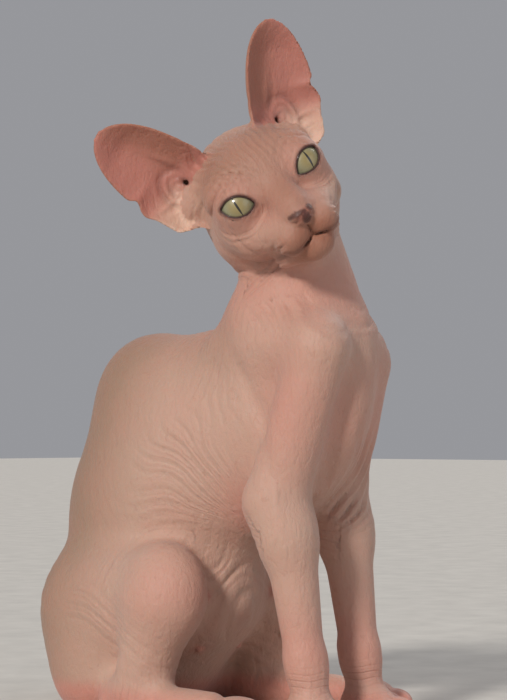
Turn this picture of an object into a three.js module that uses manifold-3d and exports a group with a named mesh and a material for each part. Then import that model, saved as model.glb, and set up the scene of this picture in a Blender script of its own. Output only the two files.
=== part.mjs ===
// A hairless sphynx cat sitting upright, forelegs straight, head turned over its right shoulder and tilted.
// Millimetres. +X is the cat's left, it faces -Y, +Z is up and the floor is z = 0.
import * as THREE from "three";
import Module from "manifold-3d";

const wasm = await Module();
wasm.setup();
const { Manifold, Mesh: ManifoldMesh } = wasm;

const GAP = 0.3; // between neighbouring parts
const rad = THREE.MathUtils.degToRad;
const vec = (x, y, z) => new THREE.Vector3(x, y, z);

// Rounded forms as distance-like fields, joined smoothly like flesh.

const smooth = (a, b, k) => {
  const h = Math.max(k - Math.abs(a - b), 0) / k;
  return Math.min(a, b) - h * h * k * 0.25;
};

// An ellipsoid. rows: its own axes, or null.
const egg = (c, r, rows = null) => (x, y, z) => {
  let u = x - c[0];
  let v = y - c[1];
  let w = z - c[2];
  if (rows) {
    const [a, b, d] = rows;
    [u, v, w] = [
      u * a[0] + v * a[1] + w * a[2],
      u * b[0] + v * b[1] + w * b[2],
      u * d[0] + v * d[1] + w * d[2],
    ];
  }
  u /= r[0];
  v /= r[1];
  w /= r[2];
  const k0 = Math.sqrt(u * u + v * v + w * w) + 1e-6;
  u /= r[0];
  v /= r[1];
  w /= r[2];
  const k1 = Math.sqrt(u * u + v * v + w * w) + 1e-9;
  return (k0 * (k0 - 1)) / k1;
};

// A round bar from a to b whose radius goes from ra to rb. squash thins it across x.
const bone = (a, b, ra, rb, squash = 1) => (x, y, z) => {
  const d = [b[0] - a[0], b[1] - a[1], b[2] - a[2]];
  let u = x - a[0];
  let v = y - a[1];
  let w = z - a[2];
  const long2 = d[0] * d[0] + d[1] * d[1] + d[2] * d[2];
  const t = Math.min(Math.max((u * d[0] + v * d[1] + w * d[2]) / long2, 0), 1);
  u = (u - t * d[0]) / squash;
  v -= t * d[1];
  w -= t * d[2];
  const q = Math.sqrt(u * u + v * v + w * w) - (ra + (rb - ra) * t);
  return squash < 1 ? q * Math.sqrt(squash) : q;
};

// Fields joined one after another, each with its own blend width: blend(first, [field, k], ...).
const blend = (first, ...more) => (x, y, z) =>
  more.reduce((d, [f, k]) => smooth(d, f(x, y, z), k), first(x, y, z));

const tilted = (deg) => {
  const c = Math.cos(rad(deg));
  const s = Math.sin(rad(deg));
  return [
    [1, 0, 0],
    [0, c, s],
    [0, -s, c],
  ];
};

// Trunk, legs and tail.

const trunk = blend(
  egg([0, 26, 152], [36, 72, 53], tilted(-32)),
  [egg([0, 94, 117], [45, 79, 59], tilted(-56)), 25],
  [egg([0, 110, 47], [43, 49, 49]), 25],
  [egg([0, 67, 66], [33, 31, 32]), 20],
  [egg([0, 103, 173], [28, 36, 32]), 25],
  [egg([0, 44, 185], [17, 34, 19]), 20],
  [egg([4, -19, 184], [17, 20, 30]), 13],
  [egg([30, 116, 24], [25, 31, 30]), 16],
  [egg([-30, 116, 24], [25, 31, 30]), 16],
);

// Each foreleg stands a little ahead of the other, as the cat's weight leans.
const FORE = {
  right: { s: -1, shoulder: -35, high: 195, elbow: -10, wrist: -26, paw: -33 },
  left: { s: 1, shoulder: -21, high: 188, elbow: 2, wrist: -19, paw: -28 },
};
const PAW_X = 25.5;
const foreleg = ({ s, shoulder, high, elbow, wrist }) =>
  blend(
    bone([s * 15, 34, 194], [s * 24, shoulder + 5, high], 13, 13.5),
    [bone([s * 25, shoulder, high - 3], [s * 30, elbow - 1, 118], 14.5, 16), 10],
    [bone([s * 30, elbow, 112], [s * 30, elbow - 7, 96], 14, 13.5), 12],
    [bone([s * 29.5, elbow - 8, 100], [s * PAW_X, wrist, 34], 13.5, 9.4), 10],
    [bone([s * PAW_X, wrist, 36], [s * PAW_X, wrist - 4, 14], 9.4, 9.6), 8],
  );

// A paw whose pad middle is at (x, y), its four toes pointing forward and turned out by yaw.
const paw = (x, y, yaw) => {
  const c = Math.cos(rad(yaw));
  const s = Math.sin(rad(yaw));
  const rows = [
    [c, s, 0],
    [-s, c, 0],
    [0, 0, 1],
  ];
  const at = (u, v, w) => [x + u * c - v * s, y + u * s + v * c, w];
  const toe = (u, v, w) => egg(at(u, v, w), [5.6, 10.5, 7], rows);
  return blend(
    egg(at(0, 3, 10), [12.5, 17, 9.5], rows),
    [toe(-10.5, -8, 7.0), 2.5],
    [toe(-4, -14.5, 7.4), 2.5],
    [toe(4, -14.5, 7.4), 2.5],
    [toe(10.5, -8, 7.0), 2.5],
  );
};

const HIND = {
  right: { s: -1, knee: 55, kneeX: 46, foot: -8 },
  left: { s: 1, knee: 60, kneeX: 43, foot: -5 },
};
const HIND_X = 53;
const hindleg = ({ s, knee, kneeX, foot }) =>
  blend(
    bone([s * 30, 118, 54], [s * (kneeX - 1), knee + 2, 70], 38, 21, 0.72),
    [egg([s * kneeX, knee - 4, 68], [16, 19, 20]), 16],
    [bone([s * (kneeX + 1), knee, 60], [s * 48, 68, 18], 18, 15), 12],
    [bone([s * 48, 84, 10], [s * 51, foot + 24, 10], 11, 9.8), 10],
  );

const tailPath = new THREE.CatmullRomCurve3([
  vec(0, 150, 26),
  vec(12, 166, 11),
  vec(42, 172, 6.5),
  vec(72, 158, 5.5),
  vec(86, 128, 5),
  vec(86, 92, 4.5),
  vec(80, 58, 4),
]);
const TAIL_ROOT = 9.5;
const TAIL_TIP = 3.4;
const tailRadius = (t) => TAIL_ROOT + (TAIL_TIP - TAIL_ROOT) * Math.pow(t, 0.7);

// Head. Its own frame: x left, y back, z up, from the point midway between the eyeballs.
const HEAD_AT = [-41.7, -16.4, 274.7];
const HEAD_X = vec(0.636, -0.523, 0.567).normalize();
const HEAD_Y = vec(0.63, 0.776, 0.009).addScaledVector(HEAD_X, -0.000002).normalize();
const HEAD_Z = vec(0, 0, 0).crossVectors(HEAD_X, HEAD_Y).normalize();
const rowsOfHead = [HEAD_X.toArray(), HEAD_Y.toArray(), HEAD_Z.toArray()];
const fromHead = (x, y, z) =>
  vec(...HEAD_AT).addScaledVector(HEAD_X, x).addScaledVector(HEAD_Y, y).addScaledVector(HEAD_Z, z);

const EYE_X = 19.5;
const EYE_R = 10.3;
const LID_R = 11.9;
const EYE_TURN = rad(13);
const EYE_SLANT = rad(23);

const skull = (mirrored) => {
  const both = (f) => (x, y, z) => f(mirrored * Math.abs(x) * mirrored, y, z);
  return blend(
    egg([0, 38, 7], [32, 38, 29]),
    [egg([0, 8, 9], [21, 18, 18]), 12],
    [both(egg([17, 8, 9], [15, 15, 11])), 8],
    [both(egg([23.5, 16, -8], [10.5, 20, 14])), 10],
    [both(egg([22, 34, -16], [13, 18, 16])), 12],
    [bone([0, 2, 3], [0, -20, -15], 11, 7.2), 9],
    [egg([0, -8, -24], [15, 16, 13]), 9],
    [both(bone([12, -11, -23], [21, 6, -18], 7.5, 9.5)), 8],
    [both(egg([8.7, -15.5, -28], [9.4, 10.5, 8.8])), 2.5],
    [egg([0, -25, -21], [6, 4.6, 4.6]), 3],
    [bone([0, 12, -33], [0, -11, -36.5], 12, 7), 6],
    [egg([0, 28, -20], [24, 26, 20]), 12],
    [both(egg([EYE_X, 0, 0], [LID_R, LID_R, LID_R])), 5],
  );
};
const headOwn = skull(1);
const headField = (x, y, z) => {
  const u = x - HEAD_AT[0];
  const v = y - HEAD_AT[1];
  const w = z - HEAD_AT[2];
  const [a, b, c] = rowsOfHead;
  return headOwn(
    u * a[0] + v * a[1] + w * a[2],
    u * b[0] + v * b[1] + w * b[2],
    u * c[0] + v * c[1] + w * c[2],
  );
};

const neckField = bone([1, -2, 200], [-4, 3, 253], 36, 25);
const skin = blend(
  trunk,
  [foreleg(FORE.right), 8],
  [paw(-PAW_X, FORE.right.paw, 4), 6],
  [foreleg(FORE.left), 8],
  [paw(PAW_X, FORE.left.paw, -4), 6],
  [hindleg(HIND.right), 12],
  [paw(-HIND_X, HIND.right.foot, 6), 6],
  [hindleg(HIND.left), 12],
  [paw(HIND_X, HIND.left.foot, -6), 6],
  [neckField, 16],
  [headField, 8],
);

// The surface of a field inside a box, one vertex for each cell that it crosses, moved onto the surface.
function surface(field, lo, hi, cell, out = 0) {
  const n = [0, 1, 2].map((i) => Math.ceil((hi[i] - lo[i]) / cell) + 2);
  const at = (i, axis) => lo[axis] + (i - 0.5) * cell;
  const boxed = (x, y, z) =>
    Math.max(field(x, y, z) - out, lo[0] - x, x - hi[0], lo[1] - y, y - hi[1], lo[2] - z, z - hi[2]);
  const value = new Float32Array(n[0] * n[1] * n[2]);
  const id = (i, j, k) => (i * n[1] + j) * n[2] + k;
  for (let i = 0; i < n[0]; i++)
    for (let j = 0; j < n[1]; j++)
      for (let k = 0; k < n[2]; k++) value[id(i, j, k)] = boxed(at(i, 0), at(j, 1), at(k, 2)) || 1e-6;
  const vertex = new Int32Array(value.length).fill(-1);
  const points = [];
  const edges = CELL_EDGES;
  const corner = (c) => [c & 1, (c >> 1) & 1, (c >> 2) & 1];
  fillPinches(value, n, id);
  for (let i = 0; i < n[0] - 1; i++)
    for (let j = 0; j < n[1] - 1; j++)
      for (let k = 0; k < n[2] - 1; k++) {
        const sum = [0, 0, 0];
        let hits = 0;
        for (const [a, b] of edges) {
          const [ca, cb] = [corner(a), corner(b)];
          const va = value[id(i + ca[0], j + ca[1], k + ca[2])];
          const vb = value[id(i + cb[0], j + cb[1], k + cb[2])];
          if (va < 0 === vb < 0) continue;
          const t = va / (va - vb);
          for (let m = 0; m < 3; m++) sum[m] += ca[m] + (cb[m] - ca[m]) * t;
          hits++;
        }
        if (!hits) continue;
        vertex[id(i, j, k)] = points.length / 3;
        points.push(
          at(i + sum[0] / hits, 0),
          at(j + sum[1] / hits, 1),
          at(k + sum[2] / hits, 2),
        );
      }
  for (let p = 0; p < points.length; p += 3) settle(boxed, points, p, cell);
  const faces = [];
  const step = [id(1, 0, 0), id(0, 1, 0), id(0, 0, 1)];
  for (let i = 0; i < n[0] - 1; i++)
    for (let j = 0; j < n[1] - 1; j++)
      for (let k = 0; k < n[2] - 1; k++) {
        const here = id(i, j, k);
        for (let m = 0; m < 3; m++) {
          const inside = value[here] < 0;
          if ([i, j, k].some((c, axis) => axis !== m && c === 0)) continue;
          if (inside === value[here + step[m]] < 0) continue;
          const [p, q] = [step[(m + 1) % 3], step[(m + 2) % 3]];
          const quad = [here - p - q, here - q, here, here - p].map((c) => vertex[c]);
          if (!inside) quad.reverse();
          faces.push(quad[0], quad[1], quad[2], quad[0], quad[2], quad[3]);
        }
      }
  const made = new THREE.BufferGeometry();
  made.setAttribute("position", new THREE.Float32BufferAttribute(points, 3));
  made.setIndex(faces);
  return solid(made);
}

const CELL_EDGES = [];
for (let a = 0; a < 8; a++)
  for (let b = a + 1; b < 8; b++) if ([1, 2, 4].includes(a ^ b)) CELL_EDGES.push([a, b]);

// Whether the corners of a cell that are in (or out) hang together along its edges.
const together = (bits) => {
  if (!bits) return true;
  let grown = bits & -bits;
  for (let turn = 0; turn < 8; turn++)
    for (const [a, b] of CELL_EDGES)
      if (bits & (1 << a) && bits & (1 << b) && grown & ((1 << a) | (1 << b))) grown |= (1 << a) | (1 << b);
  return grown === bits;
};
const PINCHED = Array.from({ length: 256 }, (_, bits) => !together(bits) || !together(255 - bits));

// Fills the corners where two sheets of a surface would touch in one cell.
function fillPinches(value, n, id) {
  for (let turn = 0; turn < 12; turn++) {
    let found = 0;
    for (let i = 0; i < n[0] - 1; i++)
      for (let j = 0; j < n[1] - 1; j++)
        for (let k = 0; k < n[2] - 1; k++) {
          let bits = 0;
          let best = -1;
          for (let c = 0; c < 8; c++) {
            const v = id(i + (c & 1), j + ((c >> 1) & 1), k + ((c >> 2) & 1));
            if (value[v] < 0) bits |= 1 << c;
            else if (best < 0 || value[v] < value[best]) best = v;
          }
          if (!PINCHED[bits]) continue;
          value[best] = -1e-3;
          found++;
        }
    if (!found) return;
  }
}

// Moves one vertex along the field's slope until it lies on the surface.
function settle(field, points, p, cell) {
  const e = 0.05;
  const start = points.slice(p, p + 3);
  for (let turn = 0; turn < 3; turn++) {
    const [x, y, z] = points.slice(p, p + 3);
    const d = field(x, y, z);
    const g = [
      (field(x + e, y, z) - field(x - e, y, z)) / (2 * e),
      (field(x, y + e, z) - field(x, y - e, z)) / (2 * e),
      (field(x, y, z + e) - field(x, y, z - e)) / (2 * e),
    ];
    const g2 = Math.max(g[0] * g[0] + g[1] * g[1] + g[2] * g[2], 0.2);
    for (let m = 0; m < 3; m++) {
      const moved = points[p + m] - (d * g[m]) / g2;
      const most = cell * 0.35;
      points[p + m] = Math.min(Math.max(moved, start[m] - most), start[m] + most);
    }
  }
}

// A closed three.js geometry as a solid.
function solid(geometry) {
  const g = geometry.index ? geometry : null;
  const position = geometry.attributes.position.array;
  const index = g ? g.index.array : Uint32Array.from({ length: position.length / 3 }, (_, i) => i);
  const mesh = new ManifoldMesh({
    numProp: 3,
    vertProperties: new Float32Array(position),
    triVerts: new Uint32Array(index),
  });
  mesh.merge();
  return new Manifold(mesh);
}

// The largest closed body of a cut piece.
const largest = (m) => m.decompose().sort((a, b) => b.volume() - a.volume())[0];

// A convex block bounded by planes [point, outward normal], each moved out by grow.
function block(centre, size, planes, grow = 0) {
  const box = new THREE.BoxGeometry(size[0] + 2 * grow, size[1] + 2 * grow, size[2] + 2 * grow);
  box.translate(...centre);
  return planes.reduce((m, [p, n]) => {
    const out = vec(...n).normalize();
    return m.trimByPlane(out.clone().negate().toArray(), -out.dot(vec(...p)) - grow);
  }, solid(weld(box)));
}

// Corner points at one place joined into one vertex.
function weld(geometry) {
  const seen = new Map();
  const points = [];
  const source = geometry.attributes.position;
  const map = [];
  for (let i = 0; i < source.count; i++) {
    const p = [source.getX(i), source.getY(i), source.getZ(i)];
    const key = p.map((c) => Math.round(c * 1e4)).join();
    if (!seen.has(key)) {
      seen.set(key, points.length / 3);
      points.push(...p);
    }
    map.push(seen.get(key));
  }
  const index = geometry.index ? Array.from(geometry.index.array) : map.map((_, i) => i);
  const faces = [];
  for (let i = 0; i < index.length; i += 3) {
    const [a, b, c] = [map[index[i]], map[index[i + 1]], map[index[i + 2]]];
    if (a !== b && b !== c && c !== a) faces.push(a, b, c);
  }
  const made = new THREE.BufferGeometry();
  made.setAttribute("position", new THREE.Float32BufferAttribute(points, 3));
  made.setIndex(faces);
  return made;
}

// A closed skin over rings of points, each ring with the same count, capped at both ends.
function loft(rings) {
  const n = rings[0].length;
  const points = rings.flat().flatMap((p) => p.toArray());
  const faces = [];
  for (let i = 0; i + 1 < rings.length; i++)
    for (let j = 0; j < n; j++) {
      const k = (j + 1) % n;
      faces.push(i * n + j, i * n + k, (i + 1) * n + k, i * n + j, (i + 1) * n + k, (i + 1) * n + j);
    }
  for (const [ring, first] of [
    [rings[0], true],
    [rings[rings.length - 1], false],
  ]) {
    const middle = ring.reduce((s, p) => s.add(p), vec(0, 0, 0)).divideScalar(n);
    const base = first ? 0 : (rings.length - 1) * n;
    const m = points.length / 3;
    points.push(...middle.toArray());
    for (let j = 0; j < n; j++) {
      const k = (j + 1) % n;
      faces.push(...(first ? [m, base + k, base + j] : [m, base + j, base + k]));
    }
  }
  const made = new THREE.BufferGeometry();
  made.setAttribute("position", new THREE.Float32BufferAttribute(points, 3));
  made.setIndex(faces);
  const m = solid(made);
  if (m.volume() > 0) return m;
  const back = made.clone();
  back.setIndex(Array.from({ length: faces.length / 3 }, (_, i) => [
    faces[3 * i],
    faces[3 * i + 2],
    faces[3 * i + 1],
  ]).flat());
  return solid(back);
}

// A rounded groove cutter along a curve.
function worm(points, r, count = 10, sides = 6) {
  const curve = new THREE.CatmullRomCurve3(points);
  const frames = curve.computeFrenetFrames(count, false);
  const rings = [];
  for (let i = 0; i <= count; i++) {
    const c = curve.getPointAt(i / count);
    const width = r * (0.35 + 0.65 * Math.sin(Math.PI * Math.min(Math.max(i / count, 0.08), 0.92)));
    const ring = [];
    for (let j = 0; j < sides; j++) {
      const a = (2 * Math.PI * j) / sides;
      ring.push(
        c
          .clone()
          .addScaledVector(frames.normals[i], width * Math.cos(a))
          .addScaledVector(frames.binormals[i], width * Math.sin(a)),
      );
    }
    rings.push(ring);
  }
  return loft(rings);
}

// Where the parts meet.

const NECK_TOP = [[-3.2, -8.6, 238.7], [-0.23, 0.19, 0.955]];
const NECK_FOOT = [[0, 5, 214], [0, -0.2, 0.98]];
const LOIN = [[0, 58, 150], [0, 0.75, -0.66]];
const under = ([p, n]) => [p, n];
const above = ([p, n]) => [p, n.map((c) => -c)];

const foreBlock = ({ s, elbow }, grow) =>
  block(
    [s * 30, -10, 85],
    [80, 120, 180],
    [
      [[s * 3, 0, 0], [-s, 0, 0]],
      [[s * 16, 2, 120], [-s * 0.72, 0.2, 0.66]],
      [[0, elbow + 17, 0], [0, 1, 0.12]],
      [[s * 39.5, 0, 0], [s, 0, -0.15]],
      [[0, 0, -1], [0, 0, -1]],
    ],
    grow,
  );
const forePawBlock = ({ s }, grow) =>
  block([s * 25, -40, 14], [60, 110, 30], [[[0, -40, 23], [0, 0.3, 1]]], grow);
const hindFootBlock = ({ s }, grow) =>
  block([s * 58, 28, 10], [56, 150, 40], [[[0, 0, 21], [0, 0, 1]], [[s * 38, -20, 0], [-s, -0.25, 0]]], grow);
const thighBlock = ({ s }, grow) =>
  block([s * 62, 96, 60], [76, 150, 130], [[[s * 26, 60, 100], [-s * 0.25, 0, 1]]], grow);

const FINE = 5.4;
const limb = (cell, lo, hi) => surface(skin, lo, hi, cell).trimByPlane([0, 0, 1], 0);

const parts = new Map();

// Head: lids, mouth, lips and nostrils are cut into it.
const ball = (s, r, depth = 0) => {
  const g = weld(new THREE.SphereGeometry(r, 20, 14));
  g.rotateX(-Math.PI / 2);
  const c = fromHead(s * EYE_X, depth, 0);
  g.applyMatrix4(new THREE.Matrix4().makeBasis(HEAD_X, HEAD_Y, HEAD_Z));
  g.translate(c.x, c.y, c.z);
  return solid(g);
};
function almond(s) {
  const half = 9.1;
  const tall = 5.4;
  const r = (half * half + tall * tall) / (2 * tall);
  const reach = Math.asin(half / r);
  const forward = vec(s * Math.sin(EYE_TURN), -Math.cos(EYE_TURN), 0);
  const side = vec(s * Math.cos(EYE_TURN), Math.sin(EYE_TURN), 0);
  const across = side.clone().multiplyScalar(Math.cos(EYE_SLANT)).add(vec(0, 0, Math.sin(EYE_SLANT)));
  const up = side.clone().multiplyScalar(-Math.sin(EYE_SLANT)).add(vec(0, 0, Math.cos(EYE_SLANT)));
  const outline = [];
  const n = 10;
  for (const turn of [1, -1])
    for (let i = 0; i < n; i++) {
      const a = -reach + (2 * reach * i) / n;
      outline.push([turn * r * Math.sin(a), turn * (r * Math.cos(a) - (r - tall))]);
    }
  const rings = [4, 24].map((far) =>
    outline.map(([u, v]) => {
      const p = vec(s * EYE_X, 0, 0)
        .addScaledVector(across, u * (far / 24 + 0.5))
        .addScaledVector(up, v * (far / 24 + 0.5))
        .addScaledVector(forward, far);
      return fromHead(p.x, p.y, p.z);
    }),
  );
  return loft(rings);
}
const onFace = (list) => list.map(([x, y, z]) => fromHead(x, y, z));

const headWhole = surface(skin, [-90, -72, 222], [26, 62, 330], FINE);
let head = largest(headWhole.trimByPlane(NECK_TOP[1], vec(...NECK_TOP[0]).dot(vec(...NECK_TOP[1]))));
for (const s of [-1, 1]) {
  head = head.subtract(ball(s, EYE_R + GAP)).subtract(almond(s));
  head = head.subtract(
    worm(onFace([[s * 2.2, -30, -21.6], [s * 3.4, -27.5, -20.6], [s * 5.6, -24.5, -19.8]]), 1.5, 8),
  );
  head = head.subtract(
    worm(
      onFace([
        [0, -26.8, -30.5],
        [s * 4, -26.2, -33.4],
        [s * 9.5, -21.5, -35.4],
        [s * 14.5, -13, -34.4],
        [s * 17.8, -5, -31.6],
      ]),
      1.15,
    ),
  );
}
head = largest(head.subtract(worm(onFace([[0, -30.4, -24], [0, -27.6, -27.5], [0, -27, -31]]), 0.8, 8)));
parts.set("head", [head, "skin", 0xbf9888]);

// Eyes: a ball with a domed cornea.
for (const [name, s] of [
  ["eye_right", -1],
  ["eye_left", 1],
])
  parts.set(name, [ball(s, EYE_R), "eye", 0x93905f]);

// Ears: thin cups, open to the front.
const EAR_LONG = 58.5;
const EAR_THICK = 2.4;
const EARS = {
  right: { s: -1, shift: 1.5, face: [0.25, -1, -0.05] },
  left: { s: 1, shift: -0.5, face: [0.42, -1, -0.05] },
};
function ear({ s, shift, face: ahead }) {
  const base = vec(26.5, 27, 17.6);
  const along = vec(24, 0, 50).normalize();
  const face = vec(...ahead).addScaledVector(along, -vec(...ahead).dot(along)).normalize();
  const wide = vec(0, 0, 0).crossVectors(along, face).normalize();
  if (wide.x < 0) wide.negate();
  const place = (w, e, n) => {
    const p = base.clone().addScaledVector(wide, w).addScaledVector(along, e).addScaledVector(face, n);
    return fromHead(s * p.x, p.y, p.z);
  };
  const rings = [];
  const rows = 11;
  const cols = 10;
  for (let i = 0; i <= rows; i++) {
    const t = i / rows;
    const e = -16 + (EAR_LONG + 16) * (1 - Math.pow(1 - t, 1.6));
    const q = Math.min(Math.max(e / EAR_LONG, 0), 0.995);
    const half = 21.6 * Math.pow(1 - Math.pow(q, 2.6), 0.6) * (e < 0 ? 1 + e / 26 : 1);
    const cup = 12 - 7.5 * q;
    const mid = 2.6 - 1.2 * q + shift * Math.min(0.3 + q * 1.5, 1);
    const thick = EAR_THICK * (1 - 0.45 * q) + (e < 0 ? -e * 0.12 : 0);
    const front = [];
    const back = [];
    for (let j = 0; j <= cols; j++) {
      const x = -1 + (2 * j) / cols;
      const n = 1 - cup * (1 - x * x);
      const edge = 0.35 + 0.65 * Math.sqrt(1 - Math.pow(x, 6));
      front.push(place(mid + x * half * 0.985, e, n + (thick * edge) / 2));
      back.unshift(place(mid + x * half, e, n - (thick * edge) / 2));
    }
    rings.push([...front, ...back]);
  }
  return loft(rings);
}
const headPlus = surface(skin, [-90, -72, 222], [26, 62, 330], FINE, GAP);
for (const [side, sizes] of Object.entries(EARS))
  parts.set("ear_" + side, [largest(ear(sizes).subtract(headPlus)), "skin", 0xb07a6a]);

// Neck.
const neckWhole = surface(skin, [-62, -64, 186], [48, 72, 262], 8.5);
const cutAt = ([p, n]) => vec(...p).dot(vec(...n).normalize());
const unitOf = ([, n]) => vec(...n).normalize().toArray();
const down = ([, n]) => vec(...n).normalize().negate().toArray();
parts.set("neck", [
  largest(
    neckWhole
      .trimByPlane(down(NECK_TOP), -cutAt(NECK_TOP) + GAP)
      .trimByPlane(unitOf(NECK_FOOT), cutAt(NECK_FOOT) + GAP / 2),
  ),
  "skin",
  0xbe9687,
]);

// Trunk, cut at the loin into chest and rump.
const trunkWhole = surface(skin, [-84, -90, -12], [84, 178, 236], 10);
const rest = [
  ...Object.values(FORE).map((leg) => foreBlock(leg, GAP)),
  ...Object.values(HIND).map((leg) => thighBlock(leg, GAP)),
  ...Object.values(HIND).map((leg) => hindFootBlock(leg, GAP)),
].reduce(
  (m, cut) => m.subtract(cut),
  trunkWhole.trimByPlane([0, 0, 1], 0).trimByPlane(down(NECK_FOOT), -cutAt(NECK_FOOT) + GAP / 2),
);
const chest = largest(rest.trimByPlane(down(LOIN), -cutAt(LOIN) + GAP / 2));
const rump = largest(rest.trimByPlane(unitOf(LOIN), cutAt(LOIN) + GAP / 2));
parts.set("chest", [chest, "skin", 0xbb9484]);
parts.set("loin_and_rump", [rump, "skin", 0xb58f7e]);

// Legs.
for (const [side, leg] of Object.entries(FORE)) {
  const { s } = leg;
  const lo = [Math.min(s * 2, s * 66), -76, -12];
  const hi = [Math.max(s * 2, s * 66), 30, 178];
  const upper = limb(6.8, [lo[0], lo[1], 8], hi);
  const beside = hindFootBlock(HIND[side], GAP);
  parts.set("foreleg_" + side, [
    largest(upper.intersect(foreBlock(leg, 0)).subtract(forePawBlock(leg, GAP)).subtract(beside)),
    "skin",
    0xba8c7c,
  ]);
  parts.set("forepaw_" + side, [
    largest(
      limb(4.6, lo, [hi[0], hi[1], 40])
        .intersect(foreBlock(leg, 0))
        .intersect(forePawBlock(leg, 0))
        .subtract(beside),
    ),
    "skin",
    0xb5806f,
  ]);
}
for (const [side, leg] of Object.entries(HIND)) {
  const { s } = leg;
  const lo = [Math.min(s * 20, s * 92), 16, -12];
  const hi = [Math.max(s * 20, s * 92), 176, 126];
  parts.set("thigh_" + side, [
    largest(limb(8.5, lo, hi).intersect(thighBlock(leg, 0)).subtract(hindFootBlock(leg, GAP))),
    "skin",
    0xc3937d,
  ]);
  parts.set("hind_foot_" + side, [
    largest(limb(5.6, [lo[0], -54, -12], [hi[0], 104, 30]).intersect(hindFootBlock(leg, 0))),
    "skin",
    0xab6e55,
  ]);
}

// Tail: round the cat's left side on the floor, in three lengths.
const trunkPlus = surface(skin, [-84, -90, -12], [84, 178, 236], 10, GAP);
const tailFrom = 0;
const cuts = [tailFrom, 0.3, 0.63, 1];
const tailNames = ["tail_root", "tail_middle", "tail_tip"];
const tailLength = tailPath.getLength();
tailNames.forEach((name, i) => {
  const a = cuts[i] + (i ? GAP / 2 / tailLength : 0);
  const b = cuts[i + 1] - (i < 2 ? GAP / 2 / tailLength : 0);
  const steps = 9;
  const rings = [];
  for (let j = 0; j <= steps; j++) {
    const t = a + ((b - a) * j) / steps;
    const c = tailPath.getPointAt(t);
    const along = tailPath.getTangentAt(t);
    const side = vec(0, 0, 0).crossVectors(along, vec(0, 0, 1)).normalize();
    const up = vec(0, 0, 0).crossVectors(side, along).normalize();
    const close = i === 2 ? Math.sqrt(Math.max(1 - Math.pow(j / steps, 8), 0.02)) : 1;
    const r = tailRadius(t) * close;
    const ring = [];
    for (let k = 0; k < 12; k++) {
      const turn = (2 * Math.PI * k) / 12;
      ring.push(
        c.clone().addScaledVector(side, r * Math.cos(turn)).addScaledVector(up, r * Math.sin(turn)),
      );
    }
    rings.push(ring);
  }
  const whole = loft(rings).trimByPlane([0, 0, 1], 0);
  parts.set(name, [largest(i === 0 ? whole.subtract(trunkPlus) : whole), "skin", 0xb08775]);
});

const cat = new THREE.Group();
cat.name = "sphynx_cat";
for (const [name, [body, , color]] of parts) {
  const m = body.getMesh();
  const points = new Float32Array(m.numVert * 3);
  for (let i = 0; i < m.numVert; i++)
    points.set(m.vertProperties.subarray(i * m.numProp, i * m.numProp + 3), i * 3);
  const geometry = new THREE.BufferGeometry();
  geometry.setAttribute("position", new THREE.BufferAttribute(points, 3));
  geometry.setIndex(new THREE.BufferAttribute(new Uint32Array(m.triVerts), 1));
  geometry.computeVertexNormals();
  const mesh = new THREE.Mesh(geometry, new THREE.MeshStandardMaterial({ color, roughness: 0.6 }));
  mesh.name = name;
  cat.add(mesh);
}

// The origin is the middle of the floor under the cat.
const box = new THREE.Box3().setFromObject(cat);
cat.position.set(-(box.min.x + box.max.x) / 2, -(box.min.y + box.max.y) / 2, 0);

export default cat;
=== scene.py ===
import math

import bmesh
import bpy
import numpy as np
from mathutils import Matrix, Vector


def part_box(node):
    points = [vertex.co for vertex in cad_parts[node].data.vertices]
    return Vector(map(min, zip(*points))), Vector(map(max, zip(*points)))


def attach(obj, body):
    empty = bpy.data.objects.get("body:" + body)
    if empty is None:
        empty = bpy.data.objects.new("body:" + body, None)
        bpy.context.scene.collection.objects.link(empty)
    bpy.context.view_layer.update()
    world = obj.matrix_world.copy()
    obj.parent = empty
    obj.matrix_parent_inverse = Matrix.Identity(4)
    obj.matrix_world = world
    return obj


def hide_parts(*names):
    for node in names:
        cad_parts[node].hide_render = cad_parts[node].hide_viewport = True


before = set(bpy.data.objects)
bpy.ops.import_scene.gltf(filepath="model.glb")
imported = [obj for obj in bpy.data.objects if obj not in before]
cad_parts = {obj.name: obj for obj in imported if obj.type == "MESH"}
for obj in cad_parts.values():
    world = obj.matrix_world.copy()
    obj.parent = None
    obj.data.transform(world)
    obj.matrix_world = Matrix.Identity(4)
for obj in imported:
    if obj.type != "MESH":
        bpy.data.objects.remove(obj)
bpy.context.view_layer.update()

bl_info = {
    "name": "Sitting Sphynx Cat",
    "version": (1, 0, 0),
    "blender": (4, 5, 0),
    "location": "3D View > Sidebar > Sphynx",
    "description": "Builds a life-size hairless cat: one skin, eyes, lid rims and claws, on a pale floor",
    "category": "Add Mesh",
}

MM = 0.001
F = np.float32

# The picture's size in pixels, and the sensor behind its long side. Places are in millimetres.
PICTURE_W, PICTURE_H, SENSOR_MM = 507, 700, 36
VIEW_AZIMUTH = math.radians(-49)
VIEW_DISTANCE, VIEW_HEIGHT, FOCAL_PX = 1100.0, 150.0, 2115.0
LEVEL_AT = (300.0, 433.6)


def unit(v):
    v = np.asarray(v, float)
    return v / np.linalg.norm(v)


def camera_axes():
    """Where the camera stands, and its right, forward and up directions."""
    a = VIEW_AZIMUTH
    eye = np.array([math.sin(a) * VIEW_DISTANCE, -math.cos(a) * VIEW_DISTANCE, VIEW_HEIGHT])
    level_right = np.array([math.cos(a), math.sin(a), 0])
    level_ahead = np.array([-math.sin(a), math.cos(a), 0])
    yaw = math.atan((PICTURE_W / 2 - LEVEL_AT[0]) / FOCAL_PX)
    pitch = math.atan((LEVEL_AT[1] - PICTURE_H / 2) / FOCAL_PX)
    ahead = level_ahead * math.cos(yaw) + level_right * math.sin(yaw)
    right = np.cross(ahead, [0, 0, 1])
    forward = ahead * math.cos(pitch) + np.array([0, 0, 1]) * math.sin(pitch)
    return eye, right, forward, np.cross(right, forward)


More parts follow.
